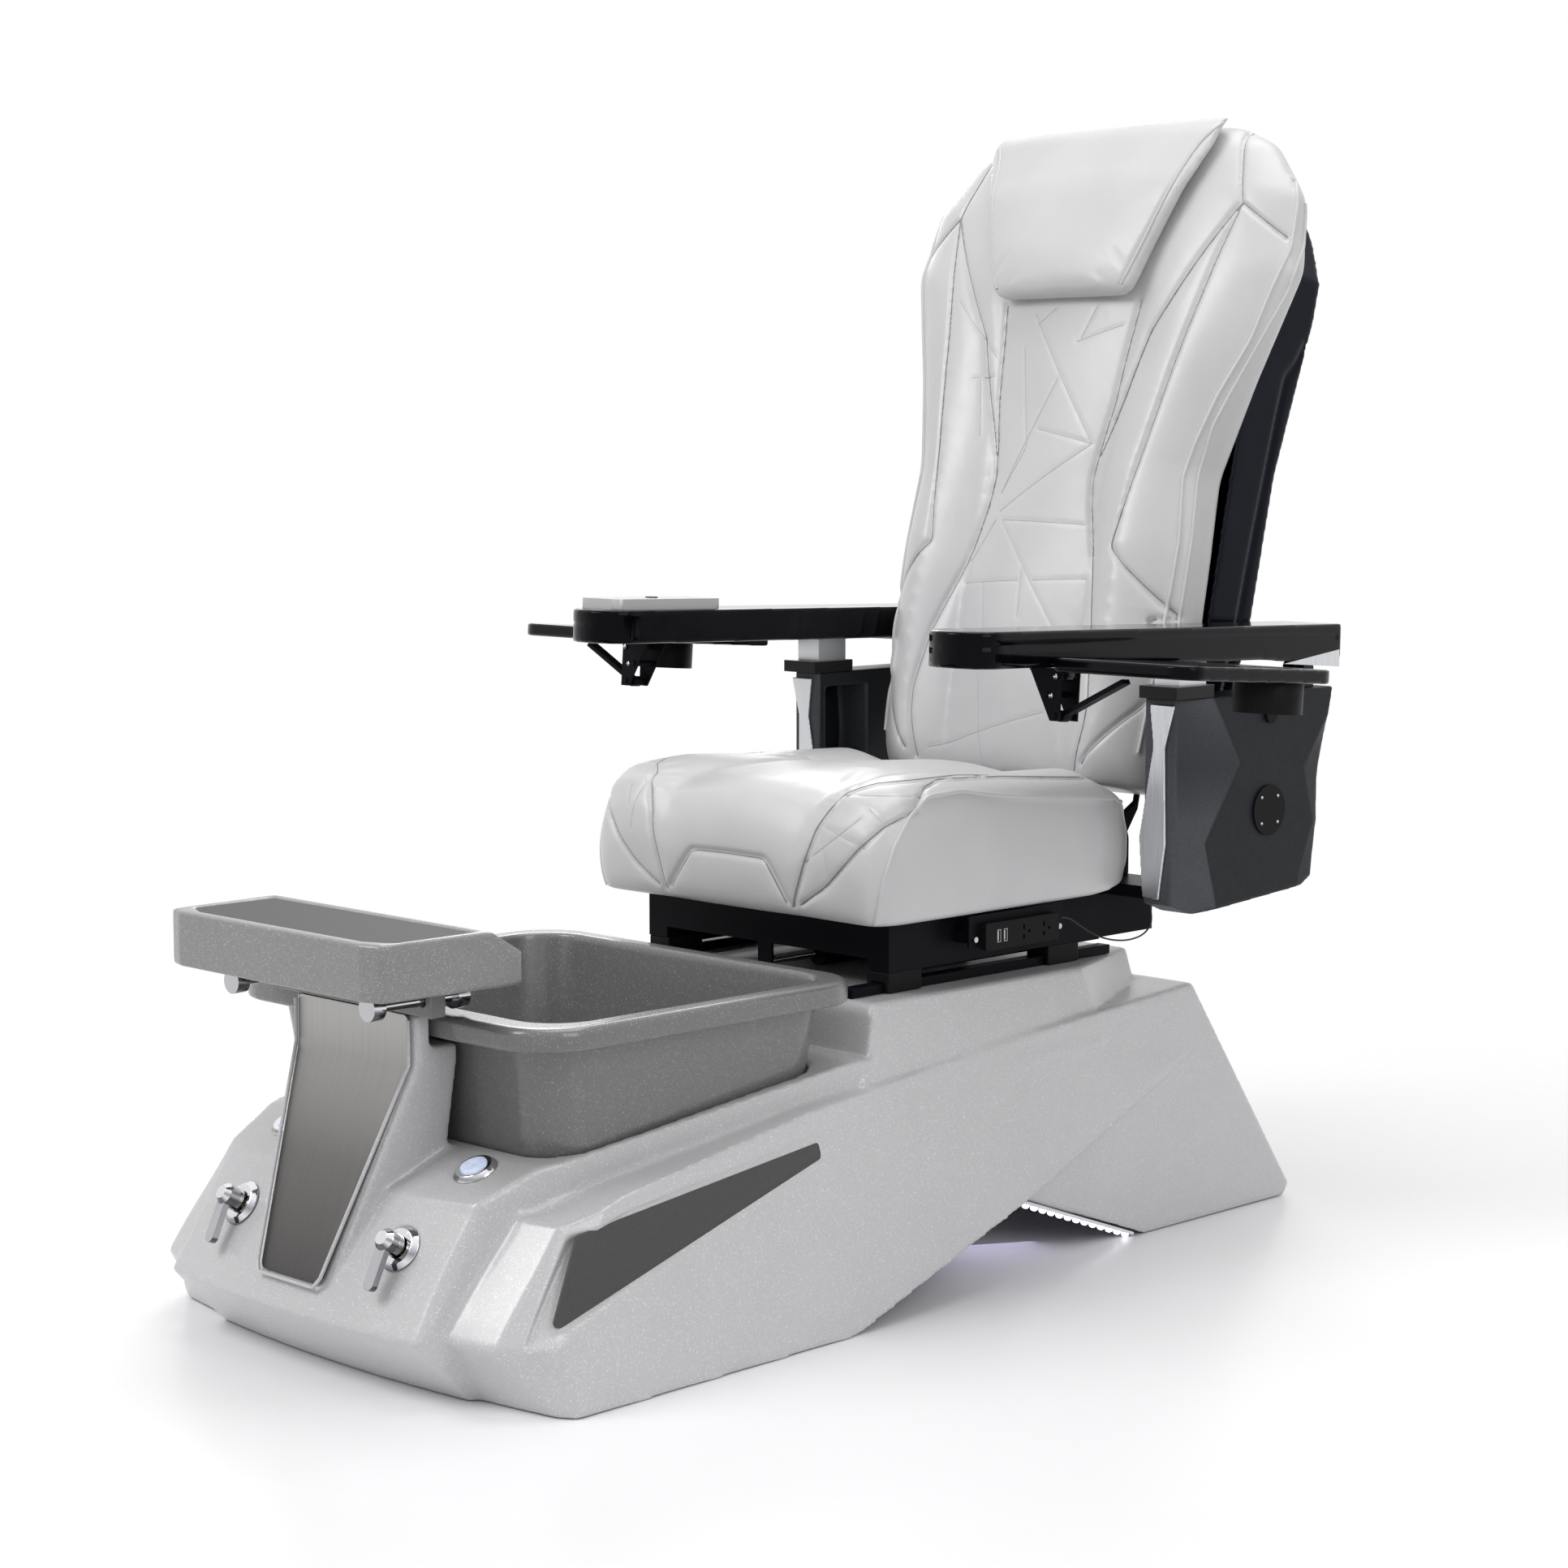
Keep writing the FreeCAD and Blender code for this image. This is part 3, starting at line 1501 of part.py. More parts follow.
for index, y in enumerate(port_places):
    outer = block(
        f"port_outer_{index}",
        (strip_face - 7.5, y - 3.3, strip_middle - 7.8),
        (strip_face + 0.4, y + 3.3, strip_middle + 7.8),
    )
    inner = block(
        f"port_inner_{index}",
        (strip_face - 7, y - 2.6, strip_middle - 7.1),
        (strip_face + 1, y + 2.6, strip_middle + 7.1),
    )
    tongue = block(
        f"port_tongue_{index}",
        (strip_face - 7.2, y - 0.9, strip_middle - 5.6),
        (strip_face - 1, y + 0.9, strip_middle + 5.6),
    )
    port_parts.append(fuse(f"port_{index}", [cut(f"port_sleeve_{index}", outer, inner), tongue]))
keep("usb_ports", group("usb_ports", port_parts))
screw_height = strip_middle - 2
keep(
    "strip_screws",
    group("strip_screws", [
        rod(
            f"strip_screw_{index}",
            at.strip_screw_radius,
            (at.plate_x + at.plate_thick + at.fit, y, screw_height),
            "x",
            4,
        )
        for index, y in enumerate((at.plate_front_y + 9, at.plate_rear_y - 9))
    ]),
)

# Thin lead from the power plate to the armrest panel
LEAD_ROUTE = (
    (241.5, 254.2, mm.frame_top - 16),
    (241.5, 266, mm.frame_top - 16),
    (246, 285, mm.frame_top - 29),
    (251, 310, mm.frame_top - 44),
    (257, 335, mm.frame_top - 52),
    (265, 358, mm.frame_top - 54),
    (276, 374, mm.frame_top - 48),
    (286, 377, mm.frame_top - 35),
    (294, 370, mm.frame_top - 21),
    (294, 366, mm.frame_top - 6.8),
)
keep(
    "armrest_lead",
    solid("armrest_lead", tube([Vector(*point) for point in LEAD_ROUTE], mm.lead_diameter)),
)

# Armrest side panels: hollow boxes with faceted front and rear edges
panel_outline = [
    (at.side_panel_front_y + at.trim_thick, at.side_panel_high),
    (at.side_panel_front_y + at.trim_thick, at.side_panel_low + 14),
    (at.side_panel_front_y + 40, at.side_panel_low),
    (at.side_panel_rear_y - 60, at.side_panel_low + 16),
    (at.side_panel_rear_y - 34, at.side_panel_low + 26),
    (at.side_panel_rear_y - 22, at.side_panel_high - 120),
    (at.side_panel_rear_y, at.side_panel_high - 36),
    (at.side_panel_rear_y, at.side_panel_high),
]
panel_block = prism("panel_block", "YZ_Plane", panel_outline, at.side_panel_inner, at.side_panel_outer)
panel_hollow = block(
    "panel_hollow",
    (at.side_panel_inner - 1, at.arm_bracket_front_y - at.gap, at.side_panel_low + 36),
    (at.side_panel_outer - 8, at.arm_bracket_rear_y + at.gap, at.side_panel_high - 20),
)
panel_slot = block(
    "panel_slot",
    (at.side_panel_inner - 1, at.arm_bracket_front_y - at.gap, frame_high - at.gap),
    (at.side_panel_inner + at.upright_thick + at.gap, at.arm_bracket_rear_y + at.gap, at.side_panel_low + 40),
)
left_panel = cut("left_panel_shape", panel_block, fuse("panel_room", [panel_hollow, panel_slot]))
keep("left_arm_panel", left_panel)
keep("right_arm_panel", mirrored("right_arm_panel", left_panel))

# Silver trims down the front edges, narrow at two heights
trim_high = at.side_panel_high - 8
trim_front = prism(
    "trim_front",
    "XZ_Plane",
    [
        (at.side_panel_inner + 14, trim_high),
        (at.side_panel_inner + 22, trim_high - 54),
        (at.side_panel_inner - 6, trim_high - 170),
        (at.side_panel_inner + 2, at.side_panel_low + 22),
        (at.side_panel_inner + 36, at.side_panel_low + 20),
        (at.side_panel_inner + 49, trim_high - 176),
        (at.side_panel_inner + 46, trim_high - 54),
        (at.side_panel_inner + 64, trim_high),
    ],
    at.side_panel_front_y,
    at.side_panel_front_y + at.trim_thick - at.fit,
)
keep("arm_trims", both_sides("arm_trims", trim_front))
disc = rod(
    "panel_disc",
    at.disc_radius,
    (at.side_panel_outer + at.fit, at.disc_y, at.disc_height),
    "x",
    at.disc_thick,
)
cap = rod(
    "panel_cap",
    at.cap_radius,
    (at.side_panel_outer + at.fit, at.disc_y, at.cap_height),
    "x",
    at.disc_thick + 2,
)
keep("panel_discs", both_sides("panel_discs", group("disc_and_cap", [disc, cap])))

# Armrest posts: collar and band at the front, a pair of ears and a pin at the rear
arm_tilt_turn = Rotation(Vector(1, 0, 0), -mm.arm_tilt)
arm_hinge_height = at.side_panel_high + at.arm_hinge_rise
arm_hinge = Vector(0, mm.arm_hinge_y, float(arm_hinge_height))
collar = block(
    "collar",
    (at.post_x - at.collar_half_width, at.post_y - at.collar_half_depth, at.side_panel_high + at.fit),
    (at.post_x + at.collar_half_width, at.post_y + at.collar_half_depth,
     at.side_panel_high + at.collar_thick),
)
band_depth = 34
band_run = at.arm_hinge_y - at.post_y - band_depth
band_top = arm_hinge_height + at.arm_hinge_drop + band_run * tangent(at.arm_tilt) - at.gap
band = block(
    "band",
    (at.post_x - at.band_half_width, at.post_y - 20, at.side_panel_high + at.collar_thick - 1),
    (at.post_x + at.band_half_width, at.post_y + band_depth, band_top),
)
ear_parts = []
for index, offset in enumerate((-at.ear_gap / 2 - at.ear_thick, at.ear_gap / 2)):
    ear_parts.append(
        block(
            f"ear_plate_{index}",
            (at.post_x + offset, at.arm_hinge_y - at.ear_radius, at.side_panel_high + at.fit),
            (at.post_x + offset + at.ear_thick, at.arm_hinge_y + at.ear_radius, arm_hinge_height),
        )
    )
    ear_parts.append(
        rod(
            f"ear_round_{index}",
            at.ear_radius,
            (at.post_x + offset, at.arm_hinge_y, arm_hinge_height),
            "x",
            at.ear_thick,
        )
    )
ear_parts.append(
    rod(
        "arm_pin",
        at.arm_pin_radius,
        (at.post_x - at.ear_gap / 2 - at.ear_thick, at.arm_hinge_y, arm_hinge_height),
        "x",
        at.ear_gap + 2 * at.ear_thick,
    )
)
post_group = group("post_group", [fuse("front_post", [collar, band]), fuse("rear_ears", ear_parts)])
keep("arm_posts", both_sides("arm_posts", post_group))

# Armrest pads, built level about the arm hinge and then tilted up towards the front
front_run = at.arm_front_y - at.arm_hinge_y
rear_run = at.arm_rear_y - at.arm_hinge_y
arm_outline = [
    (at.post_x - at.arm_half_width, front_run),
    (at.post_x + at.arm_half_width, front_run),
    (at.post_x + at.arm_half_width, rear_run),
    (at.post_x - at.arm_half_width, rear_run),
]
arm_block = prism(
    "arm_block",
    "XY_Plane",
    arm_outline,
    at.arm_hinge_drop,
    at.arm_hinge_drop + at.arm_thick,
    round_by=at.arm_half_width - 2,
    round_where=lambda middle: middle.y < mm.arm_front_y - mm.arm_hinge_y + 1,
)
arm_lug = fuse(
    "arm_lug",
    [
        block(
            "arm_lug_plate",
            (at.post_x - at.ear_gap / 2 + at.gap, -at.ear_radius, 0),
            (at.post_x + at.ear_gap / 2 - at.gap, at.ear_radius, at.arm_hinge_drop + 1),
        ),
        rod(
            "arm_lug_round",
            at.ear_radius,
            (at.post_x - at.ear_gap / 2 + at.gap, 0, 0),
            "x",
            at.ear_gap - 2 * at.gap,
        ),
    ],
)
arm_wedge = prism(
    "arm_wedge",
    "YZ_Plane",
    [
        (rear_run - at.wedge_length, at.arm_hinge_drop + 1),
        (rear_run - 1, at.arm_hinge_drop - at.wedge_drop),
        (rear_run - 1, at.arm_hinge_drop + 1),
    ],
    at.post_x + at.arm_half_width - at.wedge_width,
    at.post_x + at.arm_half_width - 1,
)
arm_bore = rod("arm_bore", at.arm_pin_radius + at.fit, (at.post_x - at.ear_gap, 0, 0), "x", 2 * at.ear_gap)
arm_shape = cut("arm_shape", fuse("arm_whole", [arm_block, arm_lug, arm_wedge]), arm_bore)
arm_shape.Placement = Placement(arm_hinge, arm_tilt_turn)
keep("left_arm_pad", arm_shape)
keep("right_arm_pad", mirrored("right_arm_pad", arm_shape))


# Manicure trays, built level from the inner front corner and then tilted down to the rear


def arm_under(y):
    """Height of the armrest's underside at a place along it."""
    return arm_hinge_height + at.arm_hinge_drop + (at.arm_hinge_y - y) * tangent(at.arm_tilt)


tray_top_front = arm_under(at.tray_front_y) + at.tray_rise
TRAY_PLACE = Placement(
    Vector(mm.tray_inner_x, mm.tray_front_y, float(tray_top_front)), Rotation(Vector(1, 0, 0), -mm.tray_tilt)
)


def on_both_arms(name, thing):
    """Places a piece by the left armrest and mirrors it for the right."""
    thing.Placement = TRAY_PLACE
    keep("left_" + name, thing)
    keep("right_" + name, mirrored("right_" + name, thing))


tray_length = at.tray_rear_y - at.tray_front_y
tray_width = at.tray_outer_x - at.tray_inner_x
tray_plate = prism(
    "tray_plate",
    "XY_Plane",
    [(0, 0), (tray_width, 0), (tray_width, tray_length), (0, tray_length)],
    -at.tray_thick,
    0,
    round_by=at.tray_corner,
    round_where=lambda middle: middle.x > 1,
)
pin_across = -at.tray_eye_radius + 1
pin_height = -at.tray_thick - at.tray_eye_radius + 1
bracket_along = at.bracket_front_y - at.tray_front_y
eye_along = bracket_along + (at.bracket_depth - at.tray_eye_width) / 2
tray_eye = rod("tray_eye", at.tray_eye_radius, (pin_across, eye_along, pin_height), "y", at.tray_eye_width)
cup_across = at.cup_x - at.tray_inner_x
cup_along = at.cup_y - at.tray_front_y
tray_holes = fuse(
    "tray_holes",
    [
        rod(
            "cup_hole",
            at.cup_radius - at.cup_wall,
            (cup_across, cup_along, -at.tray_thick - 5),
            "z",
            at.tray_thick + 10,
        ),
        rod(
            "tray_pin_bore",
            at.tray_pin_radius + at.fit,
            (pin_across, eye_along - 1, pin_height),
            "y",
            at.tray_eye_width + 2,
        ),
    ],
)
on_both_arms("tray", cut("tray_shape", fuse("tray_whole", [tray_plate, tray_eye]), tray_holes))
cup_outer = rod(
    "cup_outer",
    at.cup_radius,
    (cup_across, cup_along, -at.tray_thick - at.cup_depth),
    "z",
    at.cup_depth - at.fit,
)
cup_inner = rod(
    "cup_inner",
    at.cup_radius - at.cup_wall,
    (cup_across, cup_along, -at.tray_thick - at.cup_depth + at.cup_wall),
    "z",
    at.cup_depth + 10,
)
on_both_arms("cup_holder", cut("cup_holder", cup_outer, cup_inner))

# Tray brackets: two triangular cheeks under the armrest, a top plate and three cross pins
tray_top_here = tray_top_front - bracket_along * tangent(at.tray_tilt)
bracket_top = arm_under(at.bracket_front_y) - tray_top_here - at.gap
bracket_low = bracket_top - at.bracket_drop
bracket_outer = -at.gap * 1.5
cheek_outline = [
    (-at.bracket_reach, bracket_top),
    (bracket_outer - at.tray_eye_radius * 2, bracket_top),
    (bracket_outer, -at.tray_thick - at.gap * 2),
    (bracket_outer, bracket_low),
    (bracket_outer - 14, bracket_low),
]
cheek_starts = (bracket_along, bracket_along + at.bracket_depth - at.bracket_sheet)
cheeks = [
    prism(f"cheek_{index}", "XZ_Plane", cheek_outline, start, start + at.bracket_sheet)
    for index, start in enumerate(cheek_starts)
]
top_plate = block(
    "bracket_plate",
    (-at.bracket_reach, bracket_along, bracket_top - at.bracket_sheet),
    (bracket_outer - at.tray_eye_radius * 2.5, bracket_along + at.bracket_depth, bracket_top),
)
strut_across = bracket_outer - at.strut_pin_radius - 4
strut_height = bracket_low + at.strut_pin_radius + 2
cross_pins = [
    rod(name, radius, (across, bracket_along - 2, height), "y", at.bracket_depth + 4)
    for name, radius, across, height in (
        ("tray_hinge_pin", at.tray_pin_radius, pin_across, pin_height),
        ("strut_pin", at.strut_pin_radius, strut_across, strut_height),
        ("bracket_spacer", at.strut_pin_radius, bracket_outer - 22, bracket_top - at.bracket_drop / 2),
    )
]
on_both_arms("tray_bracket", fuse("tray_bracket", cheeks + [top_plate] + cross_pins))


# Tray struts, from the bracket's low pin to just under the tray
def make_strut():
    """A flat bar with a bored eye, standing at the low pin and leaning up to the tray."""
    rise = -mm.tray_thick - mm.strut_thick - mm.gap - float(strut_height)
    run = mm.strut_reach - float(strut_across)
    middle = float(bracket_along) + mm.bracket_depth / 2
    start = middle - mm.strut_width / 2
    eye_radius = mm.strut_pin_radius + 3
    across = Vector(0, 1, 0)
    eye = Part.makeCylinder(eye_radius, mm.strut_width, Vector(0, -mm.strut_width / 2, 0), across)
    bore_start = Vector(0, -mm.strut_width, 0)
    bore = Part.makeCylinder(mm.strut_pin_radius + mm.fit, 2 * mm.strut_width, bore_start, across)
    bar = Part.makeBox(
        math.hypot(rise, run),
        mm.strut_width,
        mm.strut_thick,
        Vector(0, -mm.strut_width / 2, -mm.strut_thick / 2),
    )
    turn = Rotation(Vector(0, 1, 0), -math.degrees(math.atan2(rise, run)))
    pivot = Vector(float(strut_across), start + mm.strut_width / 2, float(strut_height))
    return placed(eye.fuse(bar).cut(bore), Placement(pivot, turn))


on_both_arms("tray_strut", solid("strut_shape", make_strut()))

# Remote control on the sitter's right armrest, with one key that travels
arm_top_here = at.arm_hinge_drop + at.arm_thick
remote_start = at.remote_front_y - at.arm_hinge_y
remote_block = prism(
    "remote_block",
    "XY_Plane",
    [
        (-at.post_x - at.remote_half_width, remote_start),
        (-at.post_x + at.remote_half_width, remote_start),
        (-at.post_x + at.remote_half_width, remote_start + at.remote_length),
        (-at.post_x - at.remote_half_width, remote_start + at.remote_length),
    ],
    arm_top_here + at.fit,
    arm_top_here + at.remote_thick,
    round_by=12,
)
key_y = remote_start + at.remote_length / 2
key_low = arm_top_here + at.remote_thick - 5
key_pocket = block(
    "key_pocket",
    (-at.post_x - at.key_size / 2 - at.gap, key_y - at.key_size / 2 - at.gap, key_low),
    (-at.post_x + at.key_size / 2 + at.gap, key_y + at.key_size / 2 + at.gap, key_low + 10),
)
remote = cut("remote_control", remote_block, key_pocket)
ARM_PLACE = Placement(arm_hinge, arm_tilt_turn)
remote.Placement = ARM_PLACE
keep("remote_control", remote)
key_cap = block(
    "key_cap",
    (-at.post_x - at.key_size / 2, key_y - at.key_size / 2, key_low + at.key_travel + at.gap),
    (-at.post_x + at.key_size / 2, key_y + at.key_size / 2, key_low + 5 + at.key_stand),
)
remote_key = group("remote_key", [key_cap])
remote_key.Placement = ARM_PLACE
keep("remote_key", remote_key)

# Backrest pieces, built upright about the recline hinge and then leaned back
BACK_PLACE = Placement(Vector(0, mm.hinge_y, mm.hinge_height), Rotation(Vector(1, 0, 0), -mm.back_tilt))


def back_section(height, half, centre, seam_depth, bolster, rear):
    """One section across the back cushion: bolsters, channels and a centre crown."""
    channel = half * 0.42
    valley = centre + 10
    crest = half * 0.68
    right = (
        ((half - 14, rear, height), (half, (rear + seam_depth) / 2, height), (half - 3, seam_depth, height)),
        ((half - 3, seam_depth, height), ((half + crest) / 2 + 6, (seam_depth + bolster) / 2 - 5, height),
         (crest, bolster, height)),
        ((crest, bolster, height), ((crest + channel) / 2 - 4, (bolster + valley) / 2 - 2, height),
         (channel, valley, height)),
    )
    edges = [line((-half + 14, rear, height), (half - 14, rear, height))]
    edges += [arc(*points) for points in right]
    edges.append(arc((channel, valley, height), (0, centre, height), (-channel, valley, height)))
    for start, middle, end in reversed(right):
        edges.append(arc(*[(-x, depth, level) for x, depth, level in (end, middle, start)]))
    return Part.Wire(edges)


def make_back_cushion():
    low = mm.back_low
    span = mm.back_high - low
    waist = mm.waist_half
    wing = mm.wing_half
    stations = (
        (0, 0.94 * waist, 0.27, -0.33, 0.71, 0.85),
        (0.04, 0.98 * waist, 0.07, -0.56, 0.88, 1),
        (0.22, 1.03 * waist, 0, -0.78, 0.98, 1),
        (0.35, 1.02 * waist, 0, -1, 1, 1),
        (0.47, waist, 0, -1, 0.9, 1),
        (0.62, 0.86 * wing, 0, -0.56, 0.76, 1),
        (0.78, wing, 0.07, -0.11, 0.55, 1),
        (0.89, 0.95 * wing, 0.27, 0.11, 0.4, 1),
        (0.97, 0.78 * wing, 0.64, 0.44, 0.21, 1),
        (1, 0.625 * wing, 1, 0.78, 0.05, 0.8),
    )
    sections = [
        back_section(
            low + share * span,
            half,
            mm.cushion_front + fall * mm.crown_fall,
            seam * mm.seam_setback,
            -bolster * mm.bolster_reach,
            rear * mm.cushion_rear,
        )
        for share, half, fall, seam, bolster, rear in stations
    ]
    return Part.makeLoft(sections, True, True)


back_cushion_shape = make_back_cushion()


def pillow_section(height, half, front, rear):
    middle = (front + rear) / 2 + 4
    edges = [
        line((-half + 10, rear, height), (half - 10, rear, height)),
        arc((half - 10, rear, height), (half, middle, height), (half - 14, front + 8, height)),
        arc((half - 14, front + 8, height), (0, front, height), (-half + 14, front + 8, height)),
        arc((-half + 14, front + 8, height), (-half, middle, height), (-half + 10, rear, height)),
    ]
    return Part.Wire(edges)


def make_pillow():
    """The head pillow: narrow and full at its lower edge, wider and thinner at the top."""
    low = mm.pillow_low
    high = mm.pillow_high
    full = mm.pillow_thick
    face = mm.cushion_front
    rise = high - low
    narrow = mm.pillow_half_low
    broad = mm.pillow_half_high
    stations = (
        (low, narrow, face - full * 0.35, face - full * 0.03),
        (low + 0.04 * rise, 1.09 * narrow, face - full * 0.62, face + full * 0.07),
        (low + 0.23 * rise, 1.23 * narrow, face - full * 0.62, face + full * 0.14),
        (low + 0.59 * rise, 0.83 * broad, face - full * 0.34, face + full * 0.24),
        (low + 0.91 * rise, 0.99 * broad, face + full * 0.22, face + full * 0.59),
        (high, broad, face + full * 0.56, face + full * 0.86),
    )
    return Part.makeLoft([pillow_section(*station) for station in stations], True, True)


pillow_shape = make_pillow()
pillow_room = placed(pillow_shape, Placement())
keep("back_cushion", solid("back_cushion", back_cushion_shape.cut(pillow_room), BACK_PLACE))
keep("head_pillow", solid("head_pillow", pillow_shape, BACK_PLACE))

# Back frame: two uprights with hinge lugs behind the cushion, joined by two cross bars
plate_front = mm.cushion_rear + mm.gap
plate_rear = plate_front + mm.back_plate_thick
upright_inner = mm.back_plate_half - mm.back_upright_width


def make_upright(side):
    """One upright and its lug, bored for the hinge pin."""
    plate = Part.makeBox(
        mm.back_upright_width,
        mm.back_plate_thick,
        mm.back_plate_high - mm.shell_low,
        Vector(upright_inner, plate_front, mm.shell_low),
    )
    outline = [
        (-mm.lug_radius * 0.8, 0),
        (mm.lug_radius * 0.9, 0),
        (plate_rear, mm.lug_radius * 2),
        (plate_rear, mm.shell_low + 80),
        (plate_front, mm.shell_low + 80),
        (plate_front, mm.back_low - 8),
        (0, mm.lug_radius),
    ]
    across = Vector(1, 0, 0)
    start = Vector(mm.lug_x, 0, 0)
    lug = slab([start + Vector(0, depth, height) for depth, height in outline], across * mm.lug_thick)
    round_end = Part.makeCylinder(mm.lug_radius, mm.lug_thick, start, across)
    bore = Part.makeCylinder(mm.hinge_pin_radius + mm.fit, mm.lug_thick + 2, start - across, across)
    upright = plate.fuse([lug, round_end]).cut(bore)
    return upright if side > 0 else upright.mirror(Vector(), across)


uprights = Part.makeCompound([make_upright(side) for side in (-1, 1)])
keep("back_frame", solid("back_frame", uprights, BACK_PLACE))
cross_bars = [
    Part.makeBox(2 * upright_inner, mm.back_plate_thick, 40, Vector(-upright_inner, plate_front, height))
    for height in (mm.massage_low - 60, mm.massage_high + 20)
]
keep("back_cross_bars", solid("back_cross_bars", Part.makeCompound(cross_bars), BACK_PLACE))

# Back shell: a deep moulded cover whose rearmost ridge sets the chair's depth
ridge_depth = mm.massage_depth + mm.shell_ridge_room
low_depth = mm.massage_depth + mm.shell_low_room
shell_front = plate_rear + mm.gap


def shell_form(wall):
    side_outline = [
        (shell_front - (20 if wall else 0), mm.shell_low + wall),
        (low_depth - 30 - wall, mm.shell_low + wall),
        (low_depth - wall, mm.shell_low + 70),
        (low_depth + 4 - wall, mm.shell_peak - 330),
        (ridge_depth - 3 - wall, mm.shell_peak - 110),
        (ridge_depth - wall, mm.shell_peak),
        (ridge_depth - 12 - wall, mm.shell_peak + 28 - wall),
        (shell_front + 46, mm.shell_high - wall),
        (shell_front - (20 if wall else 0), mm.shell_high - wall),
    ]
    half = mm.shell_half_width
    front_outline = [
        (half - 24 - wall, mm.shell_low),
        (half - wall, mm.shell_low + 210),
        (half - wall, mm.shell_peak - 60),
        (half - 50 - wall, mm.shell_high),
    ]
    profile = side_prism(side_outline, half + 10)
    corners = [Vector(x, -100, z) for x, z in front_outline]
    corners += [Vector(-x, -100, z) for x, z in reversed(front_outline)]
    return profile.common(slab(corners, Vector(0, 2 * ridge_depth + 100, 0)))


keep("back_shell", solid("back_shell", shell_form(0).cut(shell_form(mm.back_shell_wall)), BACK_PLACE))

# Massage rails, carriage and rollers inside the back shell
rail_low = mm.massage_low - 40
rail_high = mm.massage_high + 30


def make_massage_rails():
    pieces = []
    for side in (-1, 1):
        x = side * mm.massage_rail_x
        foot = Vector(x, mm.massage_depth, rail_low)
        pieces.append(Part.makeCylinder(mm.massage_rail_radius, rail_high - rail_low, foot))
        for height in (rail_low, rail_high - 10):
            foot_length = mm.massage_depth - plate_rear - mm.fit
            pieces.append(
                Part.makeBox(14, foot_length, 10, Vector(x - 7, plate_rear + mm.fit, height))
            )
    tracks = [pieces[0].fuse(pieces[1:3]), pieces[3].fuse(pieces[4:6])]
    return Part.makeCompound(tracks)


keep("massage_rails", solid("massage_rails", make_massage_rails(), BACK_PLACE))
carriage_middle = (mm.massage_low + mm.massage_high) / 2
roller_depth = mm.cushion_rear + mm.roller_radius + 1


def make_massage_carriage():
    half_width = mm.massage_rail_x + 14
    height = 2 * mm.massage_half_height
    body = Part.makeBox(
        2 * half_width, 30, height, Vector(-half_width, mm.massage_depth - 12, carriage_middle - height / 2)
    )
    for side in (-1, 1):
        x = side * mm.massage_rail_x
        bore = Part.makeCylinder(
            mm.massage_rail_radius + mm.fit, height + 20,
            Vector(x, mm.massage_depth, carriage_middle - height / 2 - 10),
        )
        body = body.cut(bore)
    for side in (-1, 1):
        for lift in (-1, 1):
            level = carriage_middle + lift * mm.roller_spread
            x = side * mm.roller_x
            arm_start = Vector(x - 4, roller_depth, level - 5)
            arm = Part.makeBox(8, mm.massage_depth - roller_depth, 10, arm_start)
            reach = mm.roller_thick + mm.gap + 6
            axle_start = Vector(x - 4 if side > 0 else x + 4 - reach, roller_depth, level)
            axle = Part.makeCylinder(mm.axle_radius, reach, axle_start, Vector(1, 0, 0))
            body = body.fuse([arm, axle])
    return body.removeSplitter()


keep("massage_carriage", solid("massage_carriage", make_massage_carriage(), BACK_PLACE))


def make_rollers(lift):
    """The two rollers on one level, each bored for its axle."""
    rollers = []
    level = carriage_middle + lift * mm.roller_spread
    for side in (-1, 1):
        near = side * (mm.roller_x + mm.gap) + 4 * side
        corner = Vector(min(near, near + side * mm.roller_thick), roller_depth, level)
        along = Vector(1, 0, 0)
        wheel = Part.makeCylinder(mm.roller_radius, mm.roller_thick, corner, along)
        bore = Part.makeCylinder(mm.axle_radius + mm.fit, mm.roller_thick, corner, along)
        rollers.append(wheel.cut(bore))
    return Part.makeCompound(rollers)


keep("lower_rollers", solid("lower_rollers", make_rollers(-1), BACK_PLACE))
keep("upper_rollers", solid("upper_rollers", make_rollers(1), BACK_PLACE))

doc.recompute()

# Every object and every sub-part has to be sound before anything is written
for thing in doc.Objects:
    if "Invalid" in thing.State or "Error" in thing.State:
        raise RuntimeError(f"{thing.Label} is {thing.State}")
for node in nodes:
    if node.Shape.isNull() or not node.Shape.isValid():
        raise RuntimeError(f"{node.Label} has no sound shape")
    if not node.Shape.Solids:
        raise RuntimeError(f"{node.Label} has no solid")
for node in nodes:
    node.Shape.exportStep(f"parts/{node.Label}.step")
print(f"{len(nodes)} sub-parts written")
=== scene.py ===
import math

import bmesh
import bpy
import numpy as np
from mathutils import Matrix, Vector
from mathutils.bvhtree import BVHTree
from mathutils.kdtree import KDTree


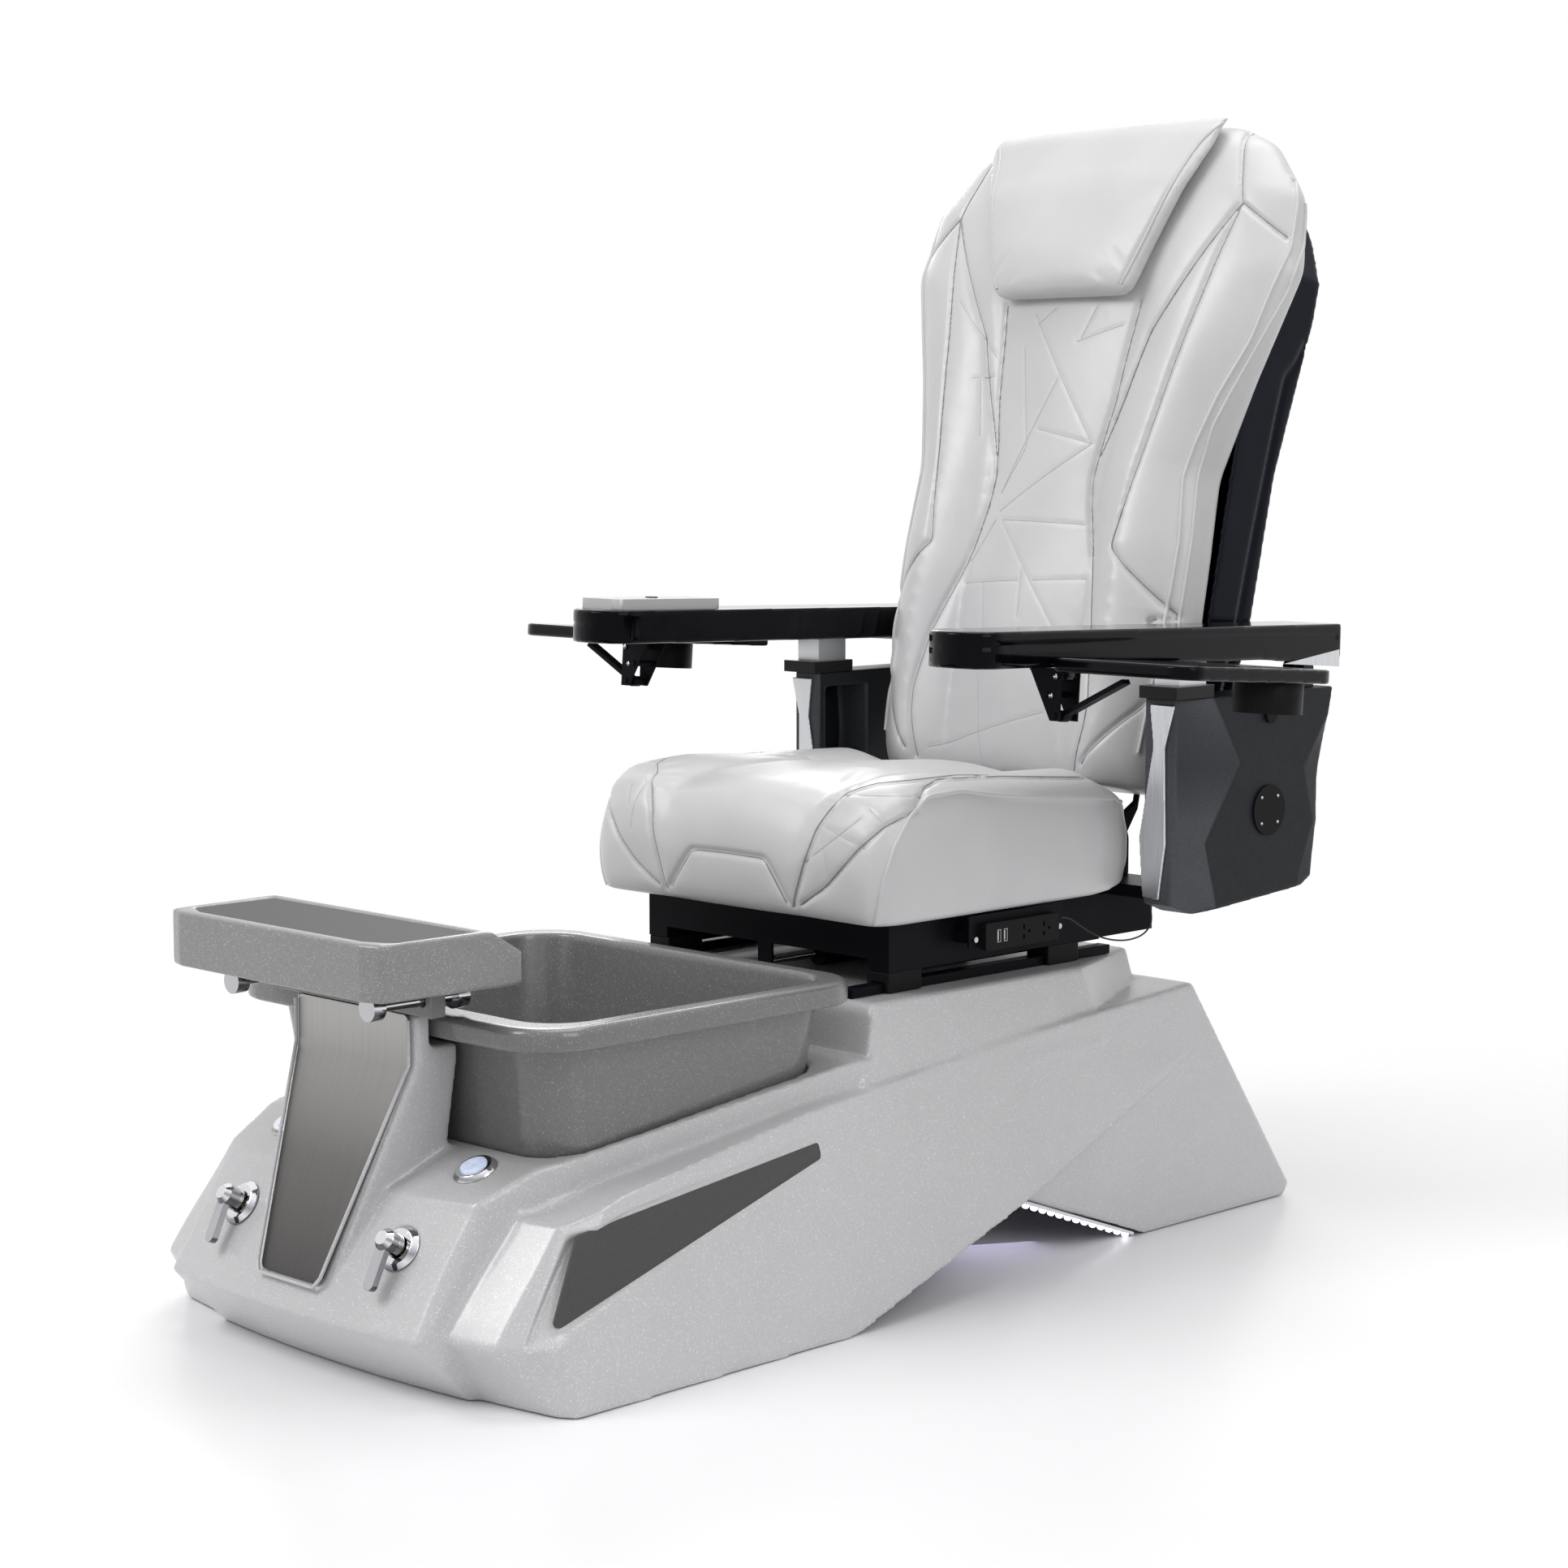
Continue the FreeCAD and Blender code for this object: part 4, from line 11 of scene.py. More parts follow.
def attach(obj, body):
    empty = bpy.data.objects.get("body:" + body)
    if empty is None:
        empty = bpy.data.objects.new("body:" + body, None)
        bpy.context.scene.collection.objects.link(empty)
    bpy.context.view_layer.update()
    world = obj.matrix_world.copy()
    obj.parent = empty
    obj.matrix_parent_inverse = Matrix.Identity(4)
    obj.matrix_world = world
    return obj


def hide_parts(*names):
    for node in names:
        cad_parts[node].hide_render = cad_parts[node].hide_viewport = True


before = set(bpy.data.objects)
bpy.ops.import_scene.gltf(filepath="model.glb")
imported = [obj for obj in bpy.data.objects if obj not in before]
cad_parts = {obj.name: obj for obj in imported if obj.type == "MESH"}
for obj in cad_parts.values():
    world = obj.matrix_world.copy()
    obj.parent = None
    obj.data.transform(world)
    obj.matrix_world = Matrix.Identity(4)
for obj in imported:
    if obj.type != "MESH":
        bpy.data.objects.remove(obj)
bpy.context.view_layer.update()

# Studio: a pale floor that fades out into a white surround, four soft lamps round
# the chair, and the camera at the sitter's left front.

CAMERA_PLACE = (2.85, -2.83, 1.036)
CAMERA_TURN = (83.73, 0, 45.2)
FOCAL_PIXELS = 3970
PHOTO_PIXELS = 1932
FLOOR_FADE = (1.05, 1.9)

studio = bpy.context.scene
studio.view_settings.view_transform = "Standard"

camera = bpy.data.objects.new("camera", bpy.data.cameras.new("camera"))
studio.collection.objects.link(camera)
studio.camera = camera
camera.location = CAMERA_PLACE
camera.rotation_euler = [math.radians(turn) for turn in CAMERA_TURN]
camera.data.sensor_width = 36
camera.data.lens = FOCAL_PIXELS / PHOTO_PIXELS * camera.data.sensor_width
camera.data.clip_start = 0.05


def add_node(material, kind, wired=None, **settings):
    """Adds one node. wired gives its inputs, each a plain value or another node's output."""
    node = material.node_tree.nodes.new("ShaderNode" + kind)
    for name, value in settings.items():
        setattr(node, name, value)
    for socket, value in (wired or {}).items():
        if isinstance(value, bpy.types.NodeSocket):
            material.node_tree.links.new(value, node.inputs[socket])
        else:
            node.inputs[socket].default_value = value
    return node


def new_finish(name, colour, **steady):
    """A finish with its own colour and the shader's steady values, before any pattern is laid in."""
    material = bpy.data.materials.new(name)
    material.use_nodes = True
    shader = material.node_tree.nodes["Principled BSDF"]
    shader.inputs["Base Color"].default_value = (*colour, 1)
    for socket, value in steady.items():
        shader.inputs[socket.replace("_", " ")].default_value = value
    return material


def shader_of(material):
    return material.node_tree.nodes["Principled BSDF"]


def wire(material, output, socket):
    material.node_tree.links.new(output, shader_of(material).inputs[socket])


def where(material, stretch=(1, 1, 1)):
    """The place on the piece in metres, stretched along its axes."""
    place = add_node(material, "TexCoord").outputs["Object"]
    return add_node(material, "Mapping", {"Vector": place, "Scale": stretch}).outputs["Vector"]


def one_axis(material, kind, axis):
    """One axis of the place on the piece (Object) or of the way the surface faces (Normal)."""
    coordinate = add_node(material, "TexCoord").outputs[kind]
    return add_node(material, "SeparateXYZ", {"Vector": coordinate}).outputs[axis]


def mottle(material, size, stretch=(1, 1, 1), detail=3):
    """Soft cloudy variation with features of about that size in metres."""
    wired = {"Vector": where(material, stretch), "Scale": 1 / size, "Detail": detail}
    return add_node(material, "TexNoise", wired).outputs["Fac"]


def blend_colours(material, share, stops):
    """Colours along a ramp, given as (share, (red, green, blue))."""
    ramp = add_node(material, "ValToRGB", {"Fac": share})
    band = ramp.color_ramp
    while len(band.elements) < len(stops):
        band.elements.new(0.5)
    for element, (position, colour) in zip(band.elements, stops):
        element.position = position
        element.color = (*colour, 1)
    return ramp.outputs["Color"]


def spread(material, share, low, high, out_low, out_high):
    """Maps a share from one range to another."""
    wired = {"Value": share, "From Min": low, "From Max": high, "To Min": out_low, "To Max": out_high}
    return add_node(material, "MapRange", wired).outputs["Result"]


def tint(material, share, stops):
    """Colours the surface along a ramp."""
    wire(material, blend_colours(material, share, stops), "Base Color")


def roughen(material, share, rough_low, rough_high, low=0, high=1):
    """Lets the roughness follow a pattern."""
    wire(material, spread(material, share, low, high, rough_low, rough_high), "Roughness")


def relief(material, height, depth, strength=1.0):
    """Raises and sinks the surface by a height pattern, depth in metres."""
    bump = add_node(material, "Bump", {"Height": height, "Distance": depth, "Strength": strength})
    wire(material, bump.outputs["Normal"], "Normal")


floor_finish = new_finish("pale_floor", (0.94, 0.94, 0.95), Roughness=0.3)
floor_place = add_node(floor_finish, "TexCoord").outputs["Object"]
floor_reach = add_node(floor_finish, "VectorMath", {0: floor_place}, operation="LENGTH").outputs["Value"]
roughen(floor_finish, mottle(floor_finish, 0.3), 0.26, 0.34)
wire(floor_finish, spread(floor_finish, floor_reach, *FLOOR_FADE, 1, 0), "Alpha")
floor = bpy.data.objects.new("floor", bpy.data.meshes.new("floor"))
floor.data.from_pydata([(-4, -4, 0), (4, -4, 0), (4, 4, 0), (-4, 4, 0)], [], [(0, 1, 2, 3)])
floor.data.materials.append(floor_finish)
floor.location.z = -0.0006
studio.collection.objects.link(floor)

surround = bpy.data.worlds.new("surround")
studio.world = surround
surround.use_nodes = True
sky = surround.node_tree.nodes["Background"]
sky.inputs["Color"].default_value = (1, 1, 1, 1)
ray = add_node(surround, "LightPath").outputs
seen = add_node(
    surround, "Math", {0: ray["Is Camera Ray"], 1: ray["Is Transmission Ray"]}, operation="MAXIMUM"
)
mirrored = add_node(
    surround, "Math", {0: seen.outputs[0], 1: ray["Is Glossy Ray"]}, operation="MAXIMUM"
)
surround.node_tree.links.new(spread(surround, mirrored.outputs[0], 0, 1, 0.5, 1), sky.inputs["Strength"])


def add_lamp(name, place, aim, size, power, colour=(1, 1, 1)):
    lamp = bpy.data.objects.new(name, bpy.data.lights.new(name, "AREA"))
    lamp.data.shape = "RECTANGLE"
    lamp.data.size, lamp.data.size_y = size
    lamp.data.energy = power
    lamp.data.color = colour
    lamp.location = place
    lamp.rotation_euler = (Vector(aim) - Vector(place)).to_track_quat("-Z", "Y").to_euler()
    studio.collection.objects.link(lamp)
    return lamp


add_lamp("key", (-1.2, -3.2, 3.4), (0, 0, 0.5), (2.2, 1.6), 84)
add_lamp("side", (3.6, -0.4, 2.2), (0, 0, 0.6), (1.6, 2.2), 34)
add_lamp("top", (0.2, 0.6, 4.2), (0, 0, 0.4), (2.6, 2.6), 60)
add_lamp("rear", (-2.6, 2.4, 2.4), (0, 0, 0.8), (1.4, 2.0), 30)


# Base: a moulded shell in pearl grey gel coat over glass fibre, laid up in one mould.
# Its corners come out of the mould well rounded, and the coat carries a fine metal fleck.


def link_piece(name, mesh, finish, body):
    """Puts a finished mesh or curve into the scene and fixes it to its body."""
    piece = bpy.data.objects.new(name, mesh)
    studio.collection.objects.link(piece)
    mesh.materials.clear()
    mesh.materials.append(finish)
    if isinstance(mesh, bpy.types.Mesh):
        mesh.polygons.foreach_set("use_smooth", [True] * len(mesh.polygons))
    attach(piece, body)
    return piece


def blank_for(mesh):
    """A passing object that carries a mesh while modifiers work on it."""
    blank = bpy.data.objects.new("form", mesh)
    studio.collection.objects.link(blank)
    return blank


def taken_off(blank):
    """The mesh that a passing object's modifiers give; the object goes."""
    depsgraph = bpy.context.evaluated_depsgraph_get()
    mesh = bpy.data.meshes.new_from_object(blank.evaluated_get(depsgraph))
    bpy.data.objects.remove(blank)
    return mesh


def mesh_from(form, name="form"):
    """Turns an edited form into a mesh and lets the form go."""
    mesh = bpy.data.meshes.new(name)
    form.to_mesh(mesh)
    form.free()
    return mesh


def mesh_of(*nodes):
    """One mesh with copies of these solids, where they stand."""
    form = bmesh.new()
    for node in nodes:
        form.from_mesh(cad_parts[node].data)
    return mesh_from(form)


def remoulded(mesh, voxel, smoothing):
    """A closed skin over a form, with every corner eased; smoothing is in passes."""
    blank = blank_for(mesh)
    skin = blank.modifiers.new("skin", "REMESH")
    skin.mode = "VOXEL"
    skin.voxel_size = voxel
    ease = blank.modifiers.new("ease", "SMOOTH")
    ease.factor = 0.5
    ease.iterations = smoothing
    return taken_off(blank)


def resampled(points, step):
    """Points every step metres along a run of straight lines."""
    points = [Vector(point) for point in points]
    placed_points = [points[0]]
    for start, end in zip(points, points[1:]):
        count = max(1, round((end - start).length / step))
        placed_points += [start.lerp(end, index / count) for index in range(1, count + 1)]
    return placed_points


def rows_of(collection, field):
    """Places or normals as rows of three."""
    flat = np.empty(len(collection) * 3)
    collection.foreach_get(field, flat)
    return flat.reshape(-1, 3)


def places_of(mesh):
    return rows_of(mesh.vertices, "co")


def normals_of(mesh):
    return rows_of(mesh.vertex_normals, "vector")


def set_places(mesh, places):
    mesh.vertices.foreach_set("co", places.ravel())
    mesh.update()


def nearest_of(places, laid):
    """For each place, how far the nearest of the laid points is and which one it is."""
    tree = KDTree(len(laid))
    for index, point in enumerate(laid):
        tree.insert(point, index)
    tree.balance()
    found = [tree.find(place) for place in places]
    return np.array([near[2] for near in found]), np.array([near[1] for near in found])


def rise_between(values, low, high):
    """Runs softly from 0 to 1 between two values."""
    share = np.clip((values - low) / (high - low), 0, 1)
    return share * share * (3 - 2 * share)


def flecked_coat(name, colour, fleck, share, **steady):
    """Gel coat with a fine metal fleck in it: cells of about 1 mm, a few of them bright."""
    material = new_finish(name, colour, **steady)
    cells = add_node(material, "TexVoronoi", {"Vector": where(material), "Scale": 900})
    spark = add_node(material, "SeparateColor", {"Color": cells.outputs["Color"]}).outputs["Red"]
    bright = spread(material, spark, 1 - share, 1, 0, 0.55)
    dull = tuple(0.965 * part for part in colour)
    cloud = blend_colours(material, mottle(material, 0.09), [(0.3, dull), (0.7, colour)])
    mixed = add_node(material, "Mix", {"Factor": bright, "A": cloud, "B": (*fleck, 1)}, data_type="RGBA")
    wire(material, mixed.outputs["Result"], "Base Color")
    roughen(material, spark, 0.36, 0.26)
    relief(material, mottle(material, 0.004), 0.0001, 0.25)
    return material


gel_coat = flecked_coat(
    "pearl_gel_coat", (0.53, 0.53, 0.54), (0.95, 0.95, 0.97), 0.14, Coat_Weight=0.35, Coat_Roughness=0.14
)
BASE_VOXEL = 0.0032
CORNER_FOLD = [
    (0.272, -0.540, 0.229), (0.258, -0.590, 0.221), (0.238, -0.650, 0.214), (0.228, -0.680, 0.194),
    (0.225, -0.706, 0.160), (0.224, -0.740, 0.111), (0.227, -0.757, 0.080), (0.228, -0.752, 0.060),
    (0.232, -0.720, 0.025),
]
FOLD_STEP = 0.009
FOLD_HALF = 0.007
FOLD_SPACING = 0.003
FOLD_REACH = (0.54, 0.64)
FOLD_BACK_LEVELS = (0.0, 0.05)
FOLD_DOWN_LEVELS = (0.09, 0.19)
SIDE_WEDGE = [(-0.637, 0.191), (-0.717, 0.070), (-0.049, 0.257)]
WEDGE_DEPTH = 0.007
WEDGE_WALL = 0.008
WEDGE_ACROSS = (0.25, 0.27)
PLATE_SUNK = 0.002
HEEL_LINE = ((0.102, 0.104), (0.489, 0.231))
HEEL_LINE_DEPTH = 0.0022
HEEL_LINE_HALF = 0.004
HEEL_LINE_ENDS = (0.01, 0.03)
HEEL_LINE_ACROSS = (0.24, 0.25)


def corner_step(places):
    """How far the front corner's wing stands back and down behind the deck block."""
    across = abs(places[:, 0])
    laid = resampled(CORNER_FOLD, FOLD_SPACING)
    nearest = nearest_of(np.column_stack([across, places[:, 1:]]), laid)[1]
    fold_across = np.array([point.x for point in laid])[nearest]
    beyond = rise_between(across - fold_across, -FOLD_HALF, FOLD_HALF)
    near_front = rise_between(-places[:, 1], *FOLD_REACH)
    step = np.zeros_like(places)
    step[:, 1] = FOLD_STEP * beyond * near_front * rise_between(places[:, 2], *FOLD_BACK_LEVELS)
    step[:, 2] = -FOLD_STEP * beyond * near_front * rise_between(places[:, 2], *FOLD_DOWN_LEVELS)
    return step


def along_and_beside(places, start, end):
    """How far each place is along a line on the chair's side, and how far above it; and its length."""
    run, rise = end[0] - start[0], end[1] - start[1]
    length = math.hypot(run, rise)
    back, up = places[:, 1] - start[0], places[:, 2] - start[1]
    return (run * back + rise * up) / length, (run * up - rise * back) / length, length


def sunk_inwards(places, depth):
    """Moves each place towards the chair's middle plane by its own depth."""
    sinking = np.zeros_like(places)
    sinking[:, 0] = -np.sign(places[:, 0]) * depth
    return sinking


def wedge_recess(places):
    """The long wedge let into each side, deepest at its front wall and running out at its tip."""
    depth = np.full(len(places), 1.0)
    for start, end in zip(SIDE_WEDGE, SIDE_WEDGE[1:] + SIDE_WEDGE[:1]):
        depth *= rise_between(along_and_beside(places, start, end)[1], 0, WEDGE_WALL)
    front, _, tip = SIDE_WEDGE
    depth *= WEDGE_DEPTH * np.clip((tip[0] - places[:, 1]) / (tip[0] - front[0]), 0, 1)
    return sunk_inwards(places, depth * rise_between(abs(places[:, 0]), *WEDGE_ACROSS))


def heel_line(places):
    """The pressed line that climbs from the arch towards the heel on either side."""
    along, beside, length = along_and_beside(places, *HEEL_LINE)
    depth = HEEL_LINE_DEPTH * np.exp(-((beside / HEEL_LINE_HALF) ** 2))
    depth *= rise_between(along, 0, HEEL_LINE_ENDS[0]) * rise_between(length - along, 0, HEEL_LINE_ENDS[1])
    return sunk_inwards(places, depth * rise_between(abs(places[:, 0]), *HEEL_LINE_ACROSS))


base_form = bmesh.new()
base_form.from_mesh(mesh_of("base_shell", "side_plates"))
base_form.from_mesh(mesh_of("side_plates"))
plate_count = len(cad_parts["side_plates"].data.vertices)
base_form.verts.ensure_lookup_table()
for vertex in base_form.verts[-plate_count:]:
    vertex.co.x += math.copysign(PLATE_SUNK, vertex.co.x)
base_mesh = remoulded(mesh_from(base_form), BASE_VOXEL, 12)
base_places = places_of(base_mesh)
base_places += corner_step(base_places) + wedge_recess(base_places) + heel_line(base_places)
set_places(base_mesh, base_places)
base_skin = link_piece("base_moulding", base_mesh, gel_coat, "base")
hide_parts("base_shell")
EASED_ABOVE = 32


def eased(piece, edge):
    """Rounds the piece's sharp edges by that much."""
    weld = piece.modifiers.new("weld", "WELD")
    weld.merge_threshold = 0.00002
    bevel = piece.modifiers.new("eased_edges", "BEVEL")
    bevel.width = edge
    bevel.segments = 3
    bevel.limit_method = "ANGLE"
    bevel.angle_limit = math.radians(EASED_ABOVE)
    bevel.harden_normals = True


def dress(node, finish, edge=0.0):
    """Gives a solid its finish and eases its sharp edges by that much."""
    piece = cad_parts[node]
    if not piece.material_slots:
        piece.data.materials.append(finish)
    for place in piece.material_slots:
        place.material = finish
    if edge:
        eased(piece, edge)
    return piece


# Steel panel: a bent sheet of brushed stainless steel on the front of the pedestal,
# ground lengthways, with a painted reflection that darkens it towards the foot. It is bonded into a shallow
# seat.

SHEET_REFLECTION_LEVELS = (0.1, 0.4)
SHEET_SHORT_EDGE = 0.012
brushed_sheet = new_finish("brushed_sheet", (0.3, 0.29, 0.28), Metallic=0.85, Roughness=0.36)
# Painted reflection: the sheet's colour runs from pale at its top to dark at its foot, by height.
sheet_reflection_share = spread(brushed_sheet, one_axis(brushed_sheet, "Object", "Z"), *SHEET_REFLECTION_LEVELS, 0, 1)
sheet_strokes = mottle(brushed_sheet, 0.0014, (1, 0.01, 0.01), 3)
SHEET_REFLECTION_TONES = [
    (0, (0.085, 0.08, 0.08)), (0.45, (0.17, 0.165, 0.16)), (0.8, (0.36, 0.35, 0.34)),
    (1, (0.5, 0.49, 0.48)),
]
sheet_painted_reflection = blend_colours(brushed_sheet, sheet_reflection_share, SHEET_REFLECTION_TONES)
sheet_lines = blend_colours(brushed_sheet, sheet_strokes, [(0.3, (0.86, 0.86, 0.86)), (0.7, (1, 1, 1))])
sheet_colour = add_node(
    brushed_sheet,
    "Mix",
    {"Factor": 1.0, "A": sheet_painted_reflection, "B": sheet_lines},
    data_type="RGBA",
    blend_type="MULTIPLY",
)
wire(brushed_sheet, sheet_colour.outputs["Result"], "Base Color")
roughen(brushed_sheet, sheet_strokes, 0.3, 0.5)
relief(brushed_sheet, sheet_strokes, 0.00006, 0.3)


def rounded_sheet(node, radius, along):
    """A copy of a cut sheet whose outline is rounded where its corners stand along a direction."""
    form = bmesh.new()
    form.from_mesh(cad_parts[node].data)
    bmesh.ops.remove_doubles(form, verts=form.verts, dist=0.00005)
    bmesh.ops.dissolve_limit(form, angle_limit=0.02, verts=form.verts, edges=form.edges)
    corners = []
    for edge in form.edges:
        way = edge.verts[1].co - edge.verts[0].co
        if way.length < SHEET_SHORT_EDGE and abs(way.normalized().dot(along)) > 0.85:
            corners.append(edge)
    bmesh.ops.bevel(
        form, geom=corners, offset=radius, segments=6, profile=0.5, affect="EDGES", clamp_overlap=True
    )
    return mesh_from(form)


sheet_mesh = rounded_sheet("steel_panel", 0.008, Vector((0, 1, 0)))
panel_sheet = link_piece("panel_sheet", sheet_mesh, brushed_sheet, "base")
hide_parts("steel_panel")
eased(panel_sheet, 0.0006)
PANEL_EDGE = [
    (0.1025, -0.6795, 0.396), (0.1025, -0.6795, 0.346), (0.0575, -0.770, 0.116), (0.050, -0.7745, 0.1055),
]


def on_side(run, side):
    """A run of places on the left of the chair (1) or in its mirror image on the right (-1)."""
    return [(side * x, y, z) for x, y, z in run]


def thread_along(name, laid_runs, radius, finish, body):
    """A round bead or sunk thread along seams, as one curve with a run for each."""
    curve = bpy.data.curves.new(name, "CURVE")
    curve.dimensions = "3D"
    curve.bevel_depth = radius
    curve.bevel_resolution = 2
    for laid in laid_runs:
        spline = curve.splines.new("POLY")
        spline.points.add(len(laid) - 1)
        for point, place in zip(spline.points, laid):
            point.co = (*place, 1)
    return link_piece(name, curve, finish, body)


panel_edge = resampled(on_side(PANEL_EDGE, -1) + PANEL_EDGE[::-1], 0.004)
thread_along("panel_lip", [panel_edge], 0.0022, gel_coat, "base")

# Side plates: dark matt inlays let into the sides of the base, flush in their recess.
# They are cut from textured sheet and bonded in.

INLAY_PROUD = 0.0008
inlay = new_finish("dark_inlay", (0.05, 0.05, 0.051), Roughness=0.5)
inlay_grain = mottle(inlay, 0.0012, detail=6)
tint(inlay, inlay_grain, [(0.3, (0.03, 0.03, 0.031)), (0.75, (0.06, 0.06, 0.061))])
roughen(inlay, inlay_grain, 0.4, 0.62)
relief(inlay, inlay_grain, 0.0002, 0.6)
inlay_mesh = rounded_sheet("side_plates", 0.006, Vector((1, 0, 0)))
inlay_places = places_of(inlay_mesh)
inlay_shift = wedge_recess(inlay_places) + sunk_inwards(inlay_places, -PLATE_SUNK - INLAY_PROUD)
set_places(inlay_mesh, inlay_places + inlay_shift)
side_inlays = link_piece("side_inlays", inlay_mesh, inlay, "base")
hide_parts("side_plates")
eased(side_inlays, 0.0008)

# Arch lamps: two strips of small lit beads under the rear slope of the arch.
# Each strip is a white carrier with clear round lenses stuck along it.

carrier_white = new_finish("strip_white", (0.78, 0.78, 0.82), Roughness=0.5)
roughen(carrier_white, mottle(carrier_white, 0.01), 0.42, 0.58)
dress("arch_lamp_strips", carrier_white, 0.0005)
bead_glow = new_finish("lit_bead", (0.95, 0.95, 1), Roughness=0.2, Emission_Strength=1.3)
shader_of(bead_glow).inputs["Emission Color"].default_value = (0.93, 0.92, 1, 1)
bead_face = blend_colours(bead_glow, mottle(bead_glow, 0.006), [(0, (0.85, 0.86, 0.95)), (1, (1, 1, 1))])
wire(bead_glow, bead_face, "Base Color")
DOME_SIDES = 20


def domes(name, profile, places, heading, radius, finish, body):
    """Turned knobs of one profile (reach, rise) at several places, facing along a heading."""
    upright = Vector((0, 0, 1)).rotation_difference(Vector(heading))
    form = bmesh.new()
    for place in places:
        rings = []
        for reach, rise in profile[:-1]:
            ring = []
            for step in range(DOME_SIDES):
                turn = math.tau * step / DOME_SIDES
                spot = Vector((reach * math.cos(turn), reach * math.sin(turn), rise)) * radius
                ring.append(form.verts.new(Vector(place) + upright @ spot))
            rings.append(ring)
        crown = form.verts.new(Vector(place) + upright @ Vector((0, 0, profile[-1][1] * radius)))
        form.faces.new(rings[0][::-1])
        for lower, upper in zip(rings, rings[1:]):
            for step in range(DOME_SIDES):
                following = (step + 1) % DOME_SIDES
                form.faces.new((lower[step], lower[following], upper[following], upper[step]))
        for step in range(DOME_SIDES):
            form.faces.new((rings[-1][step], rings[-1][(step + 1) % DOME_SIDES], crown))
    return link_piece(name, mesh_from(form, name), finish, body)


SIDES = (("left", 1), ("right", -1))
LENS_PROFILE = ((0.5, -0.2), (0.9, 0.1), (1.0, 0.5), (0.9, 0.95), (0.55, 1.3), (0.0, 1.42))
LENS_RADIUS = 0.0052
LENS_SUNK = 0.003
BEAD_GAP = 0.003
GLOW_PLACE = (0.20, 0.16, 0.075)
GLOW_AIM = (0.30, 0.10, 0)
arch_way = Vector((0, 0.235, -0.090)).normalized()
arch_down = Vector((0, arch_way.z, -arch_way.y))
bead_corners = places_of(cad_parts["arch_lamps"].data)
for name, side in SIDES:
    strip_corners = bead_corners[bead_corners[:, 0] * side > 0]
    strip_corners = strip_corners[np.argsort(strip_corners[:, 1])]
    breaks = np.flatnonzero(np.diff(strip_corners[:, 1]) > BEAD_GAP) + 1
    places = [
        Vector((bead.min(axis=0) + bead.max(axis=0)) / 2) - LENS_SUNK * arch_down
        for bead in np.split(strip_corners, breaks)
    ]
    domes(name + "_lamp_lenses", LENS_PROFILE, places, arch_down, LENS_RADIUS, bead_glow, "base")
    glow_place, glow_aim = on_side((GLOW_PLACE, GLOW_AIM), side)
    glow = add_lamp("glow_" + name, glow_place, glow_aim, (0.16, 0.24), 0.1, (0.74, 0.70, 1))
    glow.visible_glossy = False
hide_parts("arch_lamps")

# Foot basin: one deep moulding in grey gel coat with a fleck, dropped into the base.
# Its rim is rolled over outwards, and the corners inside are well rounded.

basin_coat = flecked_coat(
    "basin_gel_coat", (0.15, 0.15, 0.15), (0.46, 0.46, 0.46), 0.1, Coat_Weight=0.45, Coat_Roughness=0.1
)


def skin_of(node, voxel, smoothing):
    """A solid's own skin in even quads, with every corner eased."""
    return remoulded(mesh_of(node), voxel, smoothing)


basin_skin = link_piece("basin_moulding", skin_of("foot_basin", 0.003, 8), basin_coat, "base")
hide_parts("foot_basin")

# Drain and whirlpool jet: polished covers in the basin, each a turned and slotted cap,
# with the jet's impeller behind its cover and its motor behind the wall.

polished = new_finish("polished_chrome", (0.78, 0.78, 0.79), Metallic=1.0, Roughness=0.08)
polished_haze = mottle(polished, 0.02)
roughen(polished, polished_haze, 0.04, 0.12, 0.2, 0.8)
# Painted reflection: the chrome's colour runs in pale and dark bands by which way its surface faces, up or
# down.
CHROME_REFLECTION_BANDS = [
    (0.2, (0.2, 0.19, 0.19)), (0.42, (0.12, 0.12, 0.14)), (0.55, (0.75, 0.75, 0.77)),
    (0.66, (0.28, 0.28, 0.31)), (0.8, (0.85, 0.85, 0.87)),
]
tint(polished, spread(polished, one_axis(polished, "Normal", "Z"), -1, 1, 0, 1), CHROME_REFLECTION_BANDS)
dress("basin_drain", polished, 0.0006)
dress("jet_cover", polished, 0.0006)
satin_black = new_finish("satin_black", (0.014, 0.014, 0.015), Roughness=0.42, Specular_IOR_Level=0.07)
satin_grain = mottle(satin_black, 0.0015, detail=5)
tint(satin_black, satin_grain, [(0.2, (0.005, 0.005, 0.006)), (0.8, (0.011, 0.011, 0.012))])
roughen(satin_black, satin_grain, 0.34, 0.5)
relief(satin_black, satin_grain, 0.0001, 0.4)
dress("jet_impeller", satin_black, 0.0004)
dress("jet_motor", satin_black, 0.001)

# Taps: a cast and chromed flange and lever in front of the deck's face, the lever on
# the stem of a machined brass valve behind it.

dress("tap_flanges", polished, 0.0006)
dress("left_tap_lever", polished, 0.002)
dress("right_tap_lever", polished, 0.002)
machined_brass = new_finish("machined_brass", (0.6, 0.45, 0.2), Metallic=1.0, Roughness=0.3)
brass_marks = mottle(machined_brass, 0.003, (1, 1, 0.1))
roughen(machined_brass, brass_marks, 0.2, 0.42)
dress("tap_valves", machined_brass, 0.0006)

# Deck buttons: a chrome flange screwed down on the deck and a lit, frosted plastic cap
# that slides in it.

